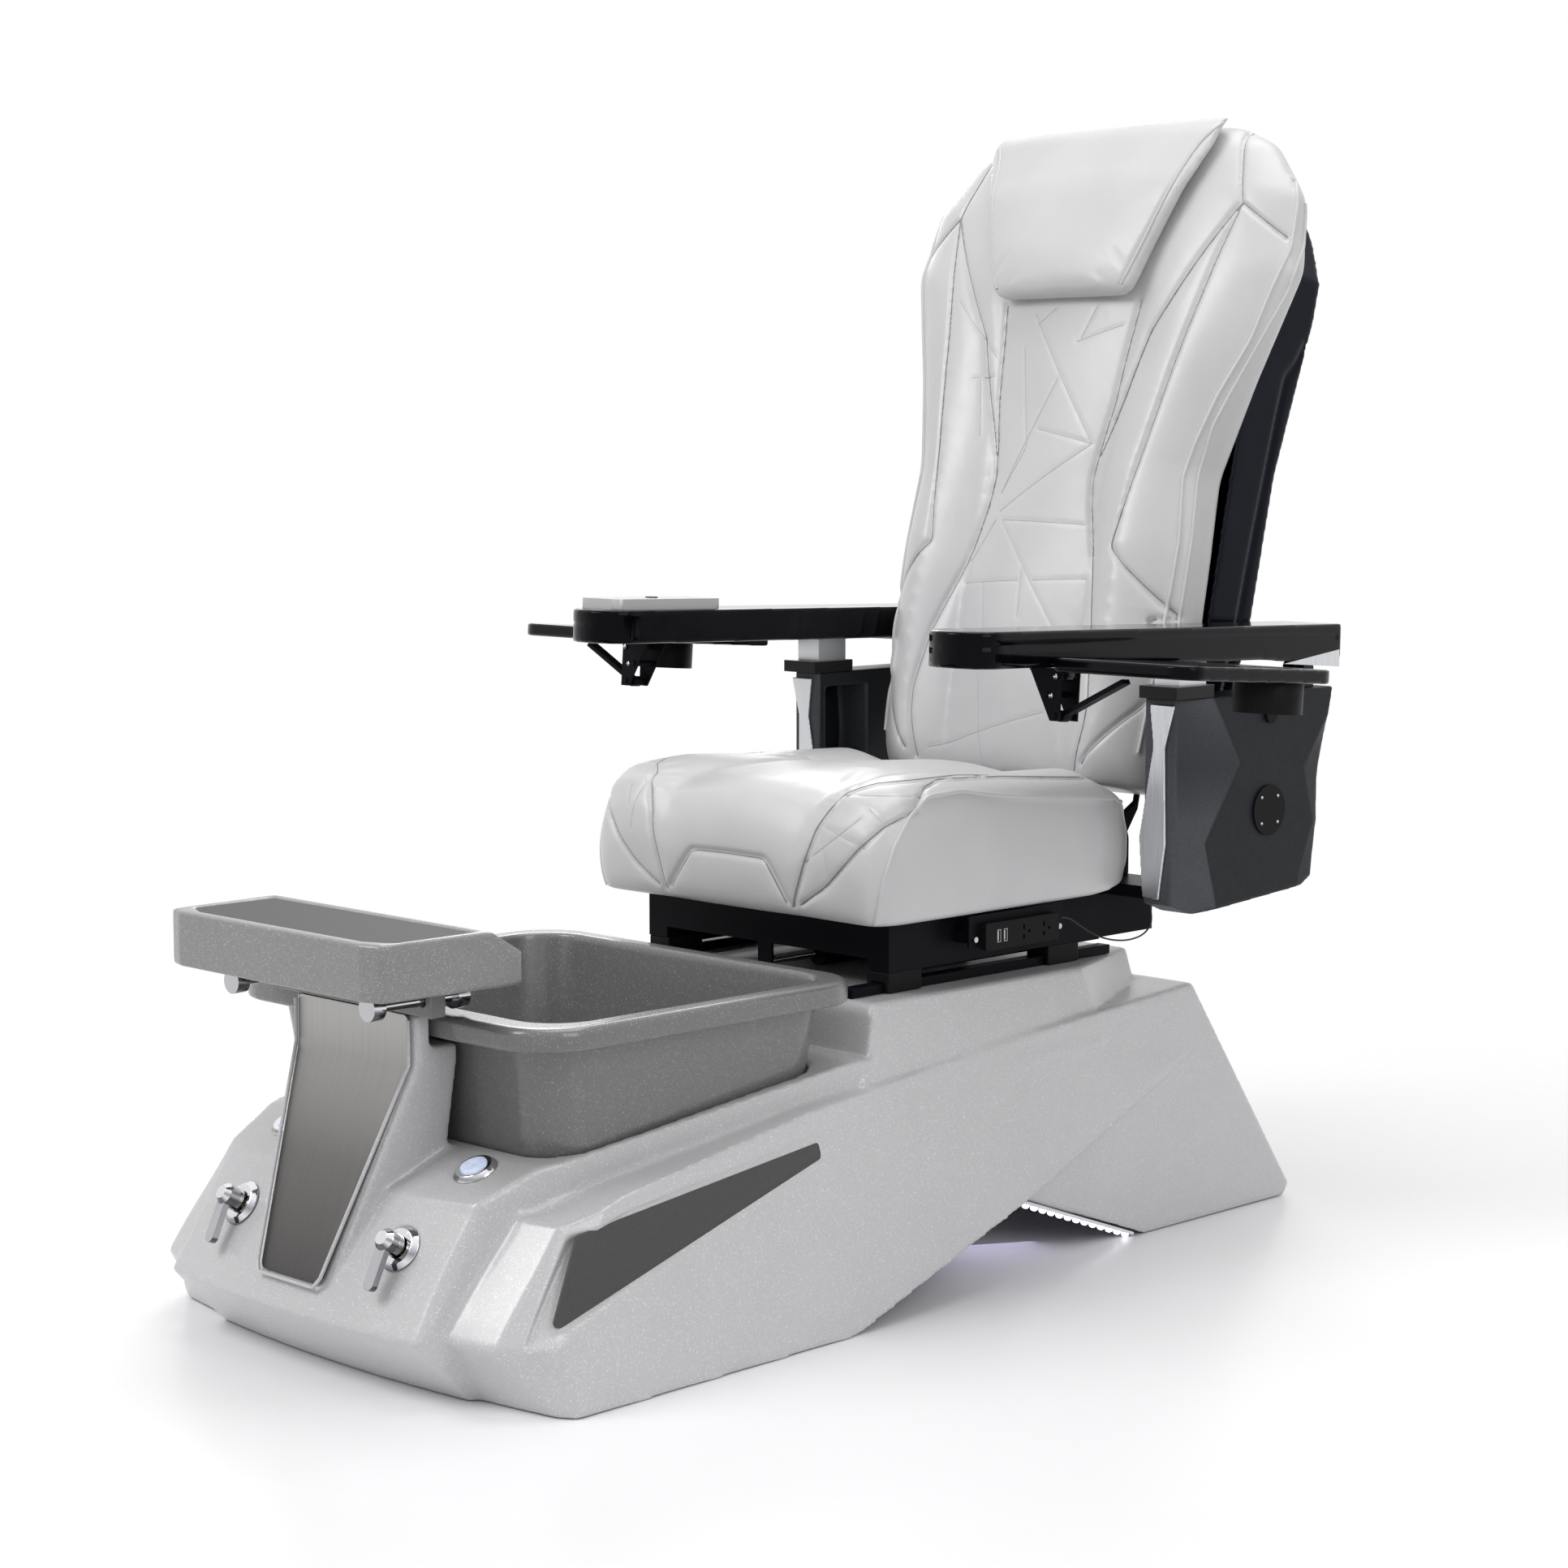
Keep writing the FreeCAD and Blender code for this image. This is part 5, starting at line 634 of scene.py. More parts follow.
dress("button_flanges", polished, 0.0006)
frosted_cap = new_finish("frosted_cap", (0.62, 0.7, 0.85), Roughness=0.3, Emission_Strength=0.25)
shader_of(frosted_cap).inputs["Emission Color"].default_value = (0.6, 0.7, 0.95, 1)
cap_cloud = mottle(frosted_cap, 0.008)
tint(frosted_cap, cap_cloud, [(0.2, (0.45, 0.55, 0.75)), (0.8, (0.8, 0.86, 0.95))])
dress("left_deck_button", frosted_cap, 0.0008)
dress("right_deck_button", frosted_cap, 0.0008)

# Footrest: a moulded tray in grey gel coat with a darker grained pad let into its top,
# carried on chrome rods that slide in a grey carrier block on the pedestal.

rest_coat = flecked_coat(
    "rest_gel_coat", (0.235, 0.235, 0.233), (0.58, 0.58, 0.58), 0.16, Coat_Weight=0.2, Coat_Roughness=0.2
)
rest_mesh = skin_of("footrest_tray", 0.003, 7)
rest_skin = link_piece("rest_moulding", rest_mesh, rest_coat, "footrest")
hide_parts("footrest_tray")
rest_pad_finish = new_finish("rest_pad", (0.07, 0.07, 0.07), Roughness=0.6, Specular_IOR_Level=0.2)
pad_grain = mottle(rest_pad_finish, 0.0015, detail=6)
tint(rest_pad_finish, pad_grain, [(0.25, (0.055, 0.055, 0.055)), (0.75, (0.09, 0.09, 0.09))])
relief(rest_pad_finish, pad_grain, 0.0002, 0.6)
dress("footrest_pad", rest_pad_finish, 0.003)
dress("footrest_rods", polished, 0.0008)
grey_moulded = new_finish("grey_moulded", (0.2, 0.2, 0.2), Roughness=0.4)
moulded_grain = mottle(grey_moulded, 0.0018, detail=5)
tint(grey_moulded, moulded_grain, [(0.2, (0.17, 0.17, 0.17)), (0.8, (0.24, 0.24, 0.24))])
relief(grey_moulded, moulded_grain, 0.0001, 0.4)
dress("footrest_carrier", grey_moulded, 0.003)
dress("control_box", satin_black, 0.002)

# Slide rails and seat frame: powder-coated steel tube on rails of the same finish, with
# nylon shoes and a thin apron along each side; the actuator lies between the rails.

plain_steel = new_finish("plain_steel", (0.45, 0.45, 0.46), Metallic=1.0, Roughness=0.3)
steel_marks = mottle(plain_steel, 0.003, (1, 0.05, 1), 5)
roughen(plain_steel, steel_marks, 0.22, 0.42)
powder_black = new_finish("powder_black", (0.006, 0.006, 0.008), Roughness=0.34, Specular_IOR_Level=0.05)
powder_grain = mottle(powder_black, 0.0012, detail=5)
tint(powder_black, powder_grain, [(0.2, (0.003, 0.003, 0.005)), (0.8, (0.008, 0.008, 0.011))])
relief(powder_black, powder_grain, 0.0001, 0.5)
dress("slide_rails", powder_black, 0.001)
dress("slide_actuator", powder_black, 0.001)
dress("actuator_rod", polished)
dress("seat_frame", powder_black, 0.002)
dress("slide_shoes", satin_black, 0.002)


def plate_between(name, outline, inner, outer):
    """A flat plate with an outline in (y, z), between two places across the chair."""
    form = bmesh.new()
    faces = [[form.verts.new((x, y, z)) for y, z in outline] for x in (inner, outer)]
    for face in faces:
        form.faces.new(face)
    for index, corner in enumerate(faces[0]):
        following = (index + 1) % len(outline)
        form.faces.new((corner, faces[0][following], faces[1][following], faces[1][index]))
    bmesh.ops.recalc_face_normals(form, faces=form.faces)
    return mesh_from(form, name)


APRON_OUTLINE = [(-0.03, 0.374), (0.40, 0.374), (0.40, 0.420), (-0.03, 0.420)]
APRON_ACROSS = (0.1795, 0.1825)
for name, side in SIDES:
    apron_name = name + "_frame_apron"
    apron_mesh = plate_between(apron_name, APRON_OUTLINE, *(side * x for x in APRON_ACROSS))
    eased(link_piece(apron_name, apron_mesh, powder_black, "seat"), 0.0006)
dress("recline_motor", satin_black, 0.002)
dress("back_frame", powder_black, 0.001)
dress("back_cross_bars", powder_black, 0.001)
dress("massage_rails", plain_steel, 0.0005)
dress("massage_carriage", satin_black, 0.001)
dress("lower_rollers", satin_black, 0.002)
dress("upper_rollers", satin_black, 0.002)

# Seat cushion: moulded foam under a sewn cover of silver-white synthetic leather.
# Panels meet in turned seams that pull the cover in, and the foam swells between them.

SEAM_SPACING = 0.003
SEAM_STRAY = 0.12
SEAM_GRIP = 0.011
FILL_FRAMES = 20
FILL_PRESSURE = 3.5


def looked_at(point):
    """The sight line to a place from the sitter's left front, or from the mirrored side for its twin."""
    eye = Vector((math.copysign(CAMERA_PLACE[0], point.x), *CAMERA_PLACE[1:]))
    return eye, (point - eye).normalized()


def lay_on(mesh, runs, sight=looked_at):
    """Puts the seams' runs down on the surface along a sight line, and evens them out."""
    surface = BVHTree.FromPolygons([v.co for v in mesh.vertices], [tuple(p.vertices) for p in mesh.polygons])
    laid_runs = []
    for run in runs:
        laid = []
        for point in resampled(run, SEAM_SPACING):
            eye, heading = sight(point)
            met = surface.ray_cast(eye, heading)[0]
            if met is None or (met - point).length > SEAM_STRAY:
                met = surface.find_nearest(point)[0]
            laid.append(met)
        for _ in range(5):
            middles = [
                (before + 2 * place + after) / 4 for before, place, after in zip(laid, laid[1:], laid[2:])
            ]
            laid = [laid[0]] + middles + [laid[-1]]
        laid_runs.append(laid)
    return laid_runs


def stuffed(mesh, runs, limit, held, sight=looked_at):
    """Fills the cover: cloth under pressure, held along its seams and where it is fixed down."""
    blank = blank_for(mesh)
    before = places_of(mesh)
    away = nearest_of(before, [point for laid in lay_on(mesh, runs, sight) for point in laid])[0]
    grip = np.maximum(1 - away / SEAM_GRIP, held(before))
    pins = blank.vertex_groups.new(name="held")
    for index in np.nonzero(grip > 0)[0]:
        pins.add([int(index)], float(grip[index]), "REPLACE")
    cover = blank.modifiers.new("cover", "CLOTH")
    cloth = cover.settings
    cloth.quality = 4
    cloth.mass = 0.25
    cloth.tension_stiffness = 12
    cloth.compression_stiffness = 12
    cloth.shear_stiffness = 6
    cloth.bending_stiffness = 1.2
    cloth.vertex_group_mass = "held"
    cloth.use_pressure = True
    cloth.uniform_pressure_force = FILL_PRESSURE
    cloth.effector_weights.gravity = 0
    cover.point_cache.frame_start = 1
    cover.point_cache.frame_end = FILL_FRAMES
    for number in range(1, FILL_FRAMES + 1):
        studio.frame_set(number)
    filled = taken_off(blank)
    studio.frame_set(1)
    shift = places_of(filled) - before
    length = np.linalg.norm(shift, axis=1, keepdims=True)
    set_places(filled, before + shift * np.minimum(1, limit / np.maximum(length, 1e-9)))
    return filled


def finer(mesh):
    """Splits every face once for the seams' detail."""
    blank = blank_for(mesh)
    split = blank.modifiers.new("finer", "SUBSURF")
    split.levels = 1
    split.render_levels = 1
    return taken_off(blank)


def sew(mesh, runs, depth, width, roll=0.0, reach=0.01, sight=looked_at):
    """Pulls the cover in along its seams: a narrow crease with a soft roll either side."""
    laid_runs = lay_on(mesh, runs, sight)
    places = places_of(mesh)
    away = nearest_of(places, [point for laid in laid_runs for point in laid])[0]
    pull = depth * np.exp(-((away / width) ** 2)) + roll * np.exp(-away / reach)
    set_places(mesh, places - normals_of(mesh) * pull[:, None])
    return lay_on(mesh, runs, sight)


leather = new_finish(
    "pearl_leather", (0.60, 0.60, 0.605),
    Roughness=0.36, Sheen_Weight=0.08, Coat_Weight=0.2, Coat_Roughness=0.25,
)
hide_cells = add_node(
    leather, "TexVoronoi", {"Vector": where(leather), "Scale": 780}, feature="DISTANCE_TO_EDGE"
)
hide_pores = spread(leather, hide_cells.outputs["Distance"], 0, 0.35, 0, 1)
hide_wrinkles = mottle(leather, 0.014, (1, 1, 0.6), 4)
hide_tone = mottle(leather, 0.16, detail=2)
tint(leather, hide_tone, [(0.25, (0.53, 0.53, 0.54)), (0.75, (0.61, 0.61, 0.615))])
roughen(leather, hide_wrinkles, 0.3, 0.42, 0.2, 0.8)
fine_bump = add_node(leather, "Bump", {"Height": hide_pores, "Distance": 0.00018, "Strength": 0.3})
slack_bump = add_node(
    leather,
    "Bump",
    {"Height": hide_wrinkles, "Distance": 0.0012, "Strength": 0.28, "Normal": fine_bump.outputs["Normal"]},
)
wire(leather, slack_bump.outputs["Normal"], "Normal")
# Partly painted shade: the seam thread is much darker than the leather, standing in for the thread and for
# the shade in the crease it lies in.
seam_thread_and_shade = new_finish("seam_thread_and_shade", (0.3, 0.3, 0.31), Roughness=0.6)
tint(seam_thread_and_shade, mottle(seam_thread_and_shade, 0.002), [(0.3, (0.2, 0.2, 0.21)), (0.7, (0.32, 0.32, 0.33))])
quilt_thread = new_finish("quilt_thread", (0.5, 0.5, 0.51), Roughness=0.5)
tint(quilt_thread, mottle(quilt_thread, 0.002), [(0.3, (0.42, 0.42, 0.43)), (0.7, (0.52, 0.52, 0.53))])


def both_ways(run):
    """A seam and its twin on the other side of the chair."""
    return [run, on_side(run, -1)]


SEAT_PIPING = [
    (0.252, -0.098, 0.455), (0.254, -0.086, 0.505), (0.256, -0.070, 0.545), (0.257, -0.045, 0.578),
    (0.255, -0.010, 0.600), (0.254, 0.050, 0.602), (0.256, 0.110, 0.592), (0.258, 0.200, 0.582),
    (0.257, 0.365, 0.568),
]
SEAT_CHANNEL = [
    (0.117, -0.101, 0.462), (0.121, -0.101, 0.480), (0.136, -0.101, 0.520), (0.150, -0.094, 0.560),
    (0.162, -0.083, 0.583), (0.170, -0.065, 0.601), (0.172, -0.045, 0.606), (0.160, 0.000, 0.608),
    (0.140, 0.080, 0.604), (0.126, 0.180, 0.602), (0.122, 0.355, 0.588),
]
SEAT_SLANT = [
    (0.130, -0.101, 0.466), (0.172, -0.101, 0.492), (0.222, -0.096, 0.542), (0.246, -0.078, 0.568),
    (0.257, -0.030, 0.586),
]
SEAT_PATCH = [(0.106, -0.101, 0.466), (0.070, -0.101, 0.512), (0.066, -0.101, 0.516), (0, -0.101, 0.517)]
SEAT_SHOULDER = [
    (0.256, -0.030, 0.590), (0.236, 0.002, 0.609), (0.205, 0.060, 0.612), (0.200, 0.180, 0.606),
    (0.206, 0.355, 0.592),
]
SEAT_QUILT = [
    [(-0.208, -0.093, 0.588), (-0.191, -0.093, 0.563)], [(-0.175, -0.080, 0.588), (-0.178, -0.100, 0.533)],
    [(0.161, -0.092, 0.564), (0.230, -0.094, 0.543)], [(0.213, -0.084, 0.576), (0.138, -0.101, 0.519)],
    [(0.156, -0.094, 0.556), (0.179, -0.101, 0.503)], [(0.222, -0.077, 0.588), (0.242, -0.077, 0.575)],
    [(0.173, -0.070, 0.600), (0.248, -0.015, 0.600)],
]
seat_seams = both_ways(SEAT_CHANNEL) + both_ways(SEAT_SLANT) + both_ways(SEAT_SHOULDER)
seat_seams.append(SEAT_PATCH + on_side(SEAT_PATCH[-2::-1], -1))
SEAT_STAPLED = (0.475, 0.455)
SEAT_BEHIND = (0.34, 0.362)


def seat_held(places):
    """The seat's cover is stapled to its board below and lies against the backrest behind."""
    stapled = rise_between(-places[:, 2], *(-level for level in SEAT_STAPLED))
    return np.maximum(stapled, rise_between(places[:, 1], *SEAT_BEHIND))


seat_mesh = skin_of("seat_cushion", 0.006, 9)
seat_mesh = finer(stuffed(seat_mesh, seat_seams + both_ways(SEAT_PIPING), 0.013, seat_held))
seat_laid = sew(seat_mesh, seat_seams, 0.0034, 0.0034, 0.0025, 0.016)
seat_edge_laid = sew(seat_mesh, both_ways(SEAT_PIPING), -0.0015, 0.004)
seat_quilt_laid = sew(seat_mesh, SEAT_QUILT, 0.0008, 0.0028)
seat_cover = link_piece("seat_cover", seat_mesh, leather, "seat")
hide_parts("seat_cushion")
thread_along("seat_seams", seat_laid, 0.0008, seam_thread_and_shade, "seat")
thread_along("seat_quilting", seat_quilt_laid, 0.0005, quilt_thread, "seat")
thread_along("seat_piping", seat_edge_laid, 0.0028, leather, "seat")

# Power plate: a black sheet on two standoffs under the cushion, with a moulded strip
# of two sockets and two ports held by a screw at each end.

dress("power_plate", powder_black, 0.0005)
dress("power_strip", satin_black, 0.0005)
dress("usb_ports", plain_steel)
dress("strip_screws", polished, 0.0004)

# Thin lead: a round black flex of about 2 mm that leaves the power plate's rear edge,
# hangs in one slack bend and goes up into the armrest panel.

flex_black = new_finish("flex_black", (0.012, 0.012, 0.012), Roughness=0.5)
roughen(flex_black, mottle(flex_black, 0.004), 0.42, 0.6)
lead_route = [
    (0.2415, 0.2542, 0.424), (0.2415, 0.266, 0.424), (0.246, 0.285, 0.411), (0.251, 0.310, 0.396),
    (0.257, 0.335, 0.388), (0.265, 0.358, 0.386), (0.276, 0.374, 0.392), (0.286, 0.377, 0.405),
    (0.294, 0.370, 0.419), (0.294, 0.366, 0.4332),
]
lead_curve = bpy.data.curves.new("armrest_flex", "CURVE")
lead_curve.dimensions = "3D"
lead_curve.bevel_depth = 0.0011
lead_curve.bevel_resolution = 4
lead_curve.resolution_u = 12
lead_line = lead_curve.splines.new("NURBS")
lead_line.points.add(len(lead_route) - 1)
for point, place in zip(lead_line.points, lead_route):
    point.co = (*place, 1)
lead_line.order_u = 3
lead_line.use_endpoint_u = True
lead = link_piece("armrest_flex", lead_curve, flex_black, "seat")
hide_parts("armrest_lead")

# Armrest side panels: moulded shells in grained charcoal with a facetted outline,
# a brushed trim down the front edge, a round disc and a small cap on the outside.

charcoal = new_finish("charcoal_grain", (0.02, 0.021, 0.024), Roughness=0.46, Specular_IOR_Level=0.16)
charcoal_cells = add_node(charcoal, "TexVoronoi", {"Vector": where(charcoal), "Scale": 900})
charcoal_grain = charcoal_cells.outputs["Distance"]
# Painted sheen: facets that face ahead get a paler copy of the grained colour.
sheen_ahead_share = spread(charcoal, one_axis(charcoal, "Normal", "Y"), -0.06, -0.2, 0, 1)
DARK_TONES = [(0, (0.018, 0.020, 0.024)), (0.8, (0.008, 0.009, 0.012))]
PAINTED_SHEEN_TONES = [(0, (0.10, 0.105, 0.115)), (0.8, (0.055, 0.058, 0.065))]
dark_tone, painted_sheen_tone = (blend_colours(charcoal, charcoal_grain, tones) for tones in (DARK_TONES, PAINTED_SHEEN_TONES))
charcoal_and_sheen = add_node(
    charcoal, "Mix", {"Factor": sheen_ahead_share, "A": dark_tone, "B": painted_sheen_tone}, data_type="RGBA"
)
wire(charcoal, charcoal_and_sheen.outputs["Result"], "Base Color")
roughen(charcoal, mottle(charcoal, 0.02), 0.42, 0.56)
relief(charcoal, charcoal_grain, 0.0003, 0.5)
FRONT_CREASE = [
    (0.424, 0.432), (0.444, 0.427), (0.514, 0.404), (0.612, 0.479), (0.690, 0.426), (0.700, 0.420),
]
REAR_CREASE = [
    (0.424, 0.600), (0.458, 0.605), (0.525, 0.635), (0.597, 0.612), (0.663, 0.664), (0.700, 0.674),
]
PANEL_FRONT = 0.352
PANEL_REAR = 0.676
PANEL_INNER = 0.290
PANEL_OUTER = 0.350
FRONT_FACET = 0.015
REAR_FACET = 0.014


def facetted(mesh):
    """Thins the panel towards its front and rear edges, from a crease bent like an hourglass."""
    places = places_of(mesh)
    front = np.interp(places[:, 2], *zip(*FRONT_CREASE))
    rear = np.interp(places[:, 2], *zip(*REAR_CREASE))
    ahead = np.clip((front - places[:, 1]) / (front - PANEL_FRONT), 0, 1)
    behind = np.clip((places[:, 1] - rear) / (PANEL_REAR + 0.01 - rear), 0, 1)
    across = (abs(places[:, 0]) - PANEL_INNER) / (PANEL_OUTER - PANEL_INNER)
    places[:, 0] -= np.sign(places[:, 0]) * across * (FRONT_FACET * ahead + REAR_FACET * behind)
    set_places(mesh, places)
    return mesh


for side in ("left", "right"):
    panel_mesh = facetted(skin_of(side + "_arm_panel", 0.003, 4))
    panel_skin = link_piece(side + "_panel_moulding", panel_mesh, charcoal, "seat")
    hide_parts(side + "_arm_panel")
brushed_trim = new_finish("brushed_trim", (0.6, 0.6, 0.61), Metallic=0.9, Roughness=0.34)
trim_strokes = mottle(brushed_trim, 0.0012, (1, 1, 0.02), 3)
tint(brushed_trim, trim_strokes, [(0.25, (0.56, 0.57, 0.59)), (0.75, (0.70, 0.71, 0.73))])
roughen(brushed_trim, trim_strokes, 0.26, 0.44)
relief(brushed_trim, trim_strokes, 0.00005, 0.3)
trim_mesh = facetted(skin_of("arm_trims", 0.0016, 2))
trim_skin = link_piece("trim_strips", trim_mesh, brushed_trim, "seat")
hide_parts("arm_trims")
dress("panel_discs", satin_black, 0.001)
SCREW_PROFILE = ((1.0, 0.0), (0.96, 0.25), (0.62, 0.42), (0.0, 0.5))
DISC_MIDDLE = (0.3531, 0.536, 0.547)
DISC_SCREW_RING = 0.024
DISC_SCREW_RADIUS = 0.0024
for name, side in SIDES:
    places = []
    for turn in (45, 135, 225, 315):
        along = DISC_SCREW_RING * math.cos(math.radians(turn))
        up = DISC_SCREW_RING * math.sin(math.radians(turn))
        places.append((side * DISC_MIDDLE[0], DISC_MIDDLE[1] + along, DISC_MIDDLE[2] + up))
    domes(
        name + "_disc_screws", SCREW_PROFILE, places, (side, 0, 0), DISC_SCREW_RADIUS,
        polished, "seat",
    )

# Armrest posts: a black collar and a silver band on each front post, black throughout
# at the rear, turned in one piece and screwed into the side panel.

BAND_LEVEL = (0.7155, 0.7165)
BAND_AHEAD_OF = (0.50, 0.501)
post_finish = new_finish("collar_and_band", (0.01, 0.01, 0.011), Roughness=0.35, Specular_IOR_Level=0.2)
band_above = spread(post_finish, one_axis(post_finish, "Object", "Z"), *BAND_LEVEL, 0, 1)
band_ahead = spread(post_finish, one_axis(post_finish, "Object", "Y"), *BAND_AHEAD_OF, 1, 0)
band_share = add_node(
    post_finish, "Math", {0: band_above, 1: band_ahead}, operation="MULTIPLY"
).outputs["Value"]
tint(post_finish, band_share, [(0, (0.008, 0.008, 0.009)), (1, (0.62, 0.63, 0.65))])
wire(post_finish, band_share, "Metallic")
dress("arm_posts", post_finish, 0.002)

# Armrest pads: hard moulded pads in polished black, rounded at the front and hinged at
# the rear, with a joint line along the outside and a silver wedge stuck on behind.

piano_black = new_finish(
    "piano_black", (0.002, 0.002, 0.003), Roughness=0.1, Specular_Tint=(0.13, 0.13, 0.15, 1)
)
piano_haze = mottle(piano_black, 0.03, detail=6)
roughen(piano_black, piano_haze, 0.085, 0.105, 0.25, 0.75)
tint(piano_black, piano_haze, [(0.2, (0.001, 0.001, 0.002)), (0.8, (0.003, 0.003, 0.004))])
PAD_JOINT = [
    (0.296, -0.0535, 0.783), (0.318, -0.0535, 0.783), (0.337, -0.050, 0.783), (0.353, -0.040, 0.785),
    (0.364, -0.012, 0.785), (0.368, 0.015, 0.785), (0.368, 0.088, 0.783), (0.368, 0.240, 0.780),
    (0.368, 0.401, 0.777), (0.368, 0.571, 0.771), (0.368, 0.655, 0.766),
]
WEDGE_CORNERS = [(0.540, 0.737), (0.661, 0.7275), (0.661, 0.750)]
WEDGE_PLANES = (0.3675, 0.3688)
for name, side in SIDES:
    pad_mesh = skin_of(name + "_arm_pad", 0.003, 5)
    sew(pad_mesh, [on_side(PAD_JOINT, side)], 0.0016, 0.0026)
    pad_skin = link_piece(name + "_pad_moulding", pad_mesh, piano_black, name + "_arm")
    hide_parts(name + "_arm_pad")
    wedge_mesh = plate_between(name + "_pad_wedge", WEDGE_CORNERS, *(side * x for x in WEDGE_PLANES))
    pad_wedge = link_piece(name + "_pad_wedge", wedge_mesh, brushed_trim, name + "_arm")
    eased(pad_wedge, 0.0003)

# Manicure trays: flat polished black boards with a round cup holder let in,
# hinged on a pair of triangular cheeks under each armrest and propped by a strut.

BRACKET_BOLTS = [(0.380, 0.0752, 0.746), (0.373, 0.0752, 0.723)]
BOLT_RADIUS = 0.0034
for name, side in SIDES:
    board_mesh = skin_of(name + "_tray", 0.0025, 4)
    board = link_piece(name + "_tray_board", board_mesh, piano_black, name + "_tray_body")
    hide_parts(name + "_tray")
    dress(name + "_cup_holder", satin_black, 0.001)
    dress(name + "_tray_bracket", powder_black, 0.0006)
    dress(name + "_tray_strut", powder_black, 0.001)
    domes(
        name + "_bracket_bolts", SCREW_PROFILE, on_side(BRACKET_BOLTS, side), (0, -1, 0), BOLT_RADIUS,
        polished, name + "_arm",
    )

# Remote control: a flat silver-edged handset with one raised key, on the right armrest.
# Its plastic shell is black on top, and the key is a rubber cap.

handset = new_finish("handset_grey", (0.5, 0.5, 0.51), Roughness=0.3, Metallic=0.3)
handset_tone = mottle(handset, 0.03)
roughen(handset, handset_tone, 0.26, 0.36)
handset_share = spread(handset, one_axis(handset, "Normal", "Z"), 0.6, 0.95, 0, 1)
tint(handset, handset_share, [(0.1, (0.5, 0.5, 0.51)), (0.9, (0.02, 0.02, 0.022))])
dress("remote_control", handset, 0.0012)
key_rubber = new_finish("key_rubber", (0.1, 0.1, 0.1), Roughness=0.6)
roughen(key_rubber, mottle(key_rubber, 0.002), 0.5, 0.7)
dress("remote_key", key_rubber, 0.0015)

# Back cushion: moulded foam with full side bolsters and shoulder wings, under a cover
# sewn from many panels; the middle panel is stitched through in fine slanting lines.

LEAN = math.radians(13.1)
HINGE_Y = 0.430
HINGE_Z = 0.500
BACK_DRAWN_IN = (-0.035, -0.015)
BACK_FOOT = (0.60, 0.585)


def back_run(points, out):
    """Places given in mm across the back and up along it from the hinge, and in metres out from it."""
    return [
        (
            across / 1000,
            HINGE_Y + math.sin(LEAN) * (up / 1000) + math.cos(LEAN) * out,
            HINGE_Z + math.cos(LEAN) * (up / 1000) - math.sin(LEAN) * out,
        )
        for across, up in points
    ]


def out_from_back(places):
    """How far each place stands behind the plane that leans back through the hinge."""
    return (places[:, 1] - HINGE_Y) * math.cos(LEAN) - (places[:, 2] - HINGE_Z) * math.sin(LEAN)


BACK_SEAMS = [
    [
        (118, 715), (110, 650), (103, 578), (92, 520), (86, 475), (90, 438), (110, 355), (141, 256),
        (155, 175), (153, 140), (139, 82),
    ],
    [(248, 848), (145, 672), (118, 582), (92, 505)],
    [(248, 848), (208, 664), (186, 538), (158, 378), (262, 285)],
    [(248, 848), (312, 804)],
    [(214, 955), (248, 848)],
    [(157, 92), (220, 170), (254, 225)],
]
BACK_SEAMS_OUT = -0.09
BACK_PIPING = [
    (0.300, 0.640, 1.372), (0.314, 0.628, 1.329), (0.320, 0.606, 1.270), (0.305, 0.583, 1.213),
    (0.287, 0.566, 1.151), (0.258, 0.537, 1.081), (0.240, 0.515, 1.020), (0.232, 0.500, 0.975),
    (0.238, 0.486, 0.892), (0.238, 0.470, 0.830), (0.236, 0.458, 0.782), (0.232, 0.440, 0.700),
    (0.224, 0.425, 0.620),
]
BACK_EDGE = [
    (0.315, 0.644, 1.329), (0.328, 0.622, 1.270), (0.322, 0.600, 1.215), (0.302, 0.580, 1.165),
    (0.272, 0.553, 1.092), (0.254, 0.532, 1.040), (0.244, 0.516, 0.975), (0.248, 0.500, 0.895),
    (0.248, 0.478, 0.800), (0.246, 0.462, 0.720), (0.240, 0.440, 0.630),
]
BACK_QUILT = [
    [(-0.053, 0.537, 1.193), (0.079, 0.499, 1.018), (-0.062, 0.475, 0.926)],
    [(-0.014, 0.498, 1.038), (0.079, 0.499, 1.018)],
    [(-0.064, 0.527, 1.149), (-0.030, 0.493, 1.014), (-0.067, 0.481, 0.948), (0.006, 0.513, 1.104)],
    [(-0.016, 0.538, 1.200), (-0.045, 0.533, 1.178)],
    [(0.053, 0.540, 1.200), (0.035, 0.527, 1.158)],
    [(0.098, 0.537, 1.175), (0.029, 0.526, 1.154)],
    [(-0.054, 0.472, 0.915), (0.088, 0.476, 0.911)],
    [(-0.054, 0.472, 0.915), (0.073, 0.440, 0.768)],
    [(-0.106, 0.453, 0.829), (-0.006, 0.451, 0.835)],
    [(0.020, 0.451, 0.836), (0.105, 0.462, 0.840)],
    [(-0.067, 0.473, 0.915), (-0.104, 0.462, 0.858)],
    [(-0.002, 0.454, 0.850), (0.004, 0.439, 0.787)],
    [(-0.070, 0.454, 0.830), (-0.052, 0.435, 0.755)],
    [(-0.050, 0.422, 0.698), (-0.038, 0.407, 0.632), (-0.025, 0.403, 0.583)],
    [(-0.122, 0.398, 0.607), (-0.038, 0.407, 0.632), (0.070, 0.418, 0.664)],
    [(-0.149, 0.513, 1.108), (-0.118, 0.524, 1.110)],
    [(-0.137, 0.516, 1.106), (-0.120, 0.501, 1.028)],
    [(-0.200, 0.545, 1.215), (-0.119, 0.530, 1.136)],
]


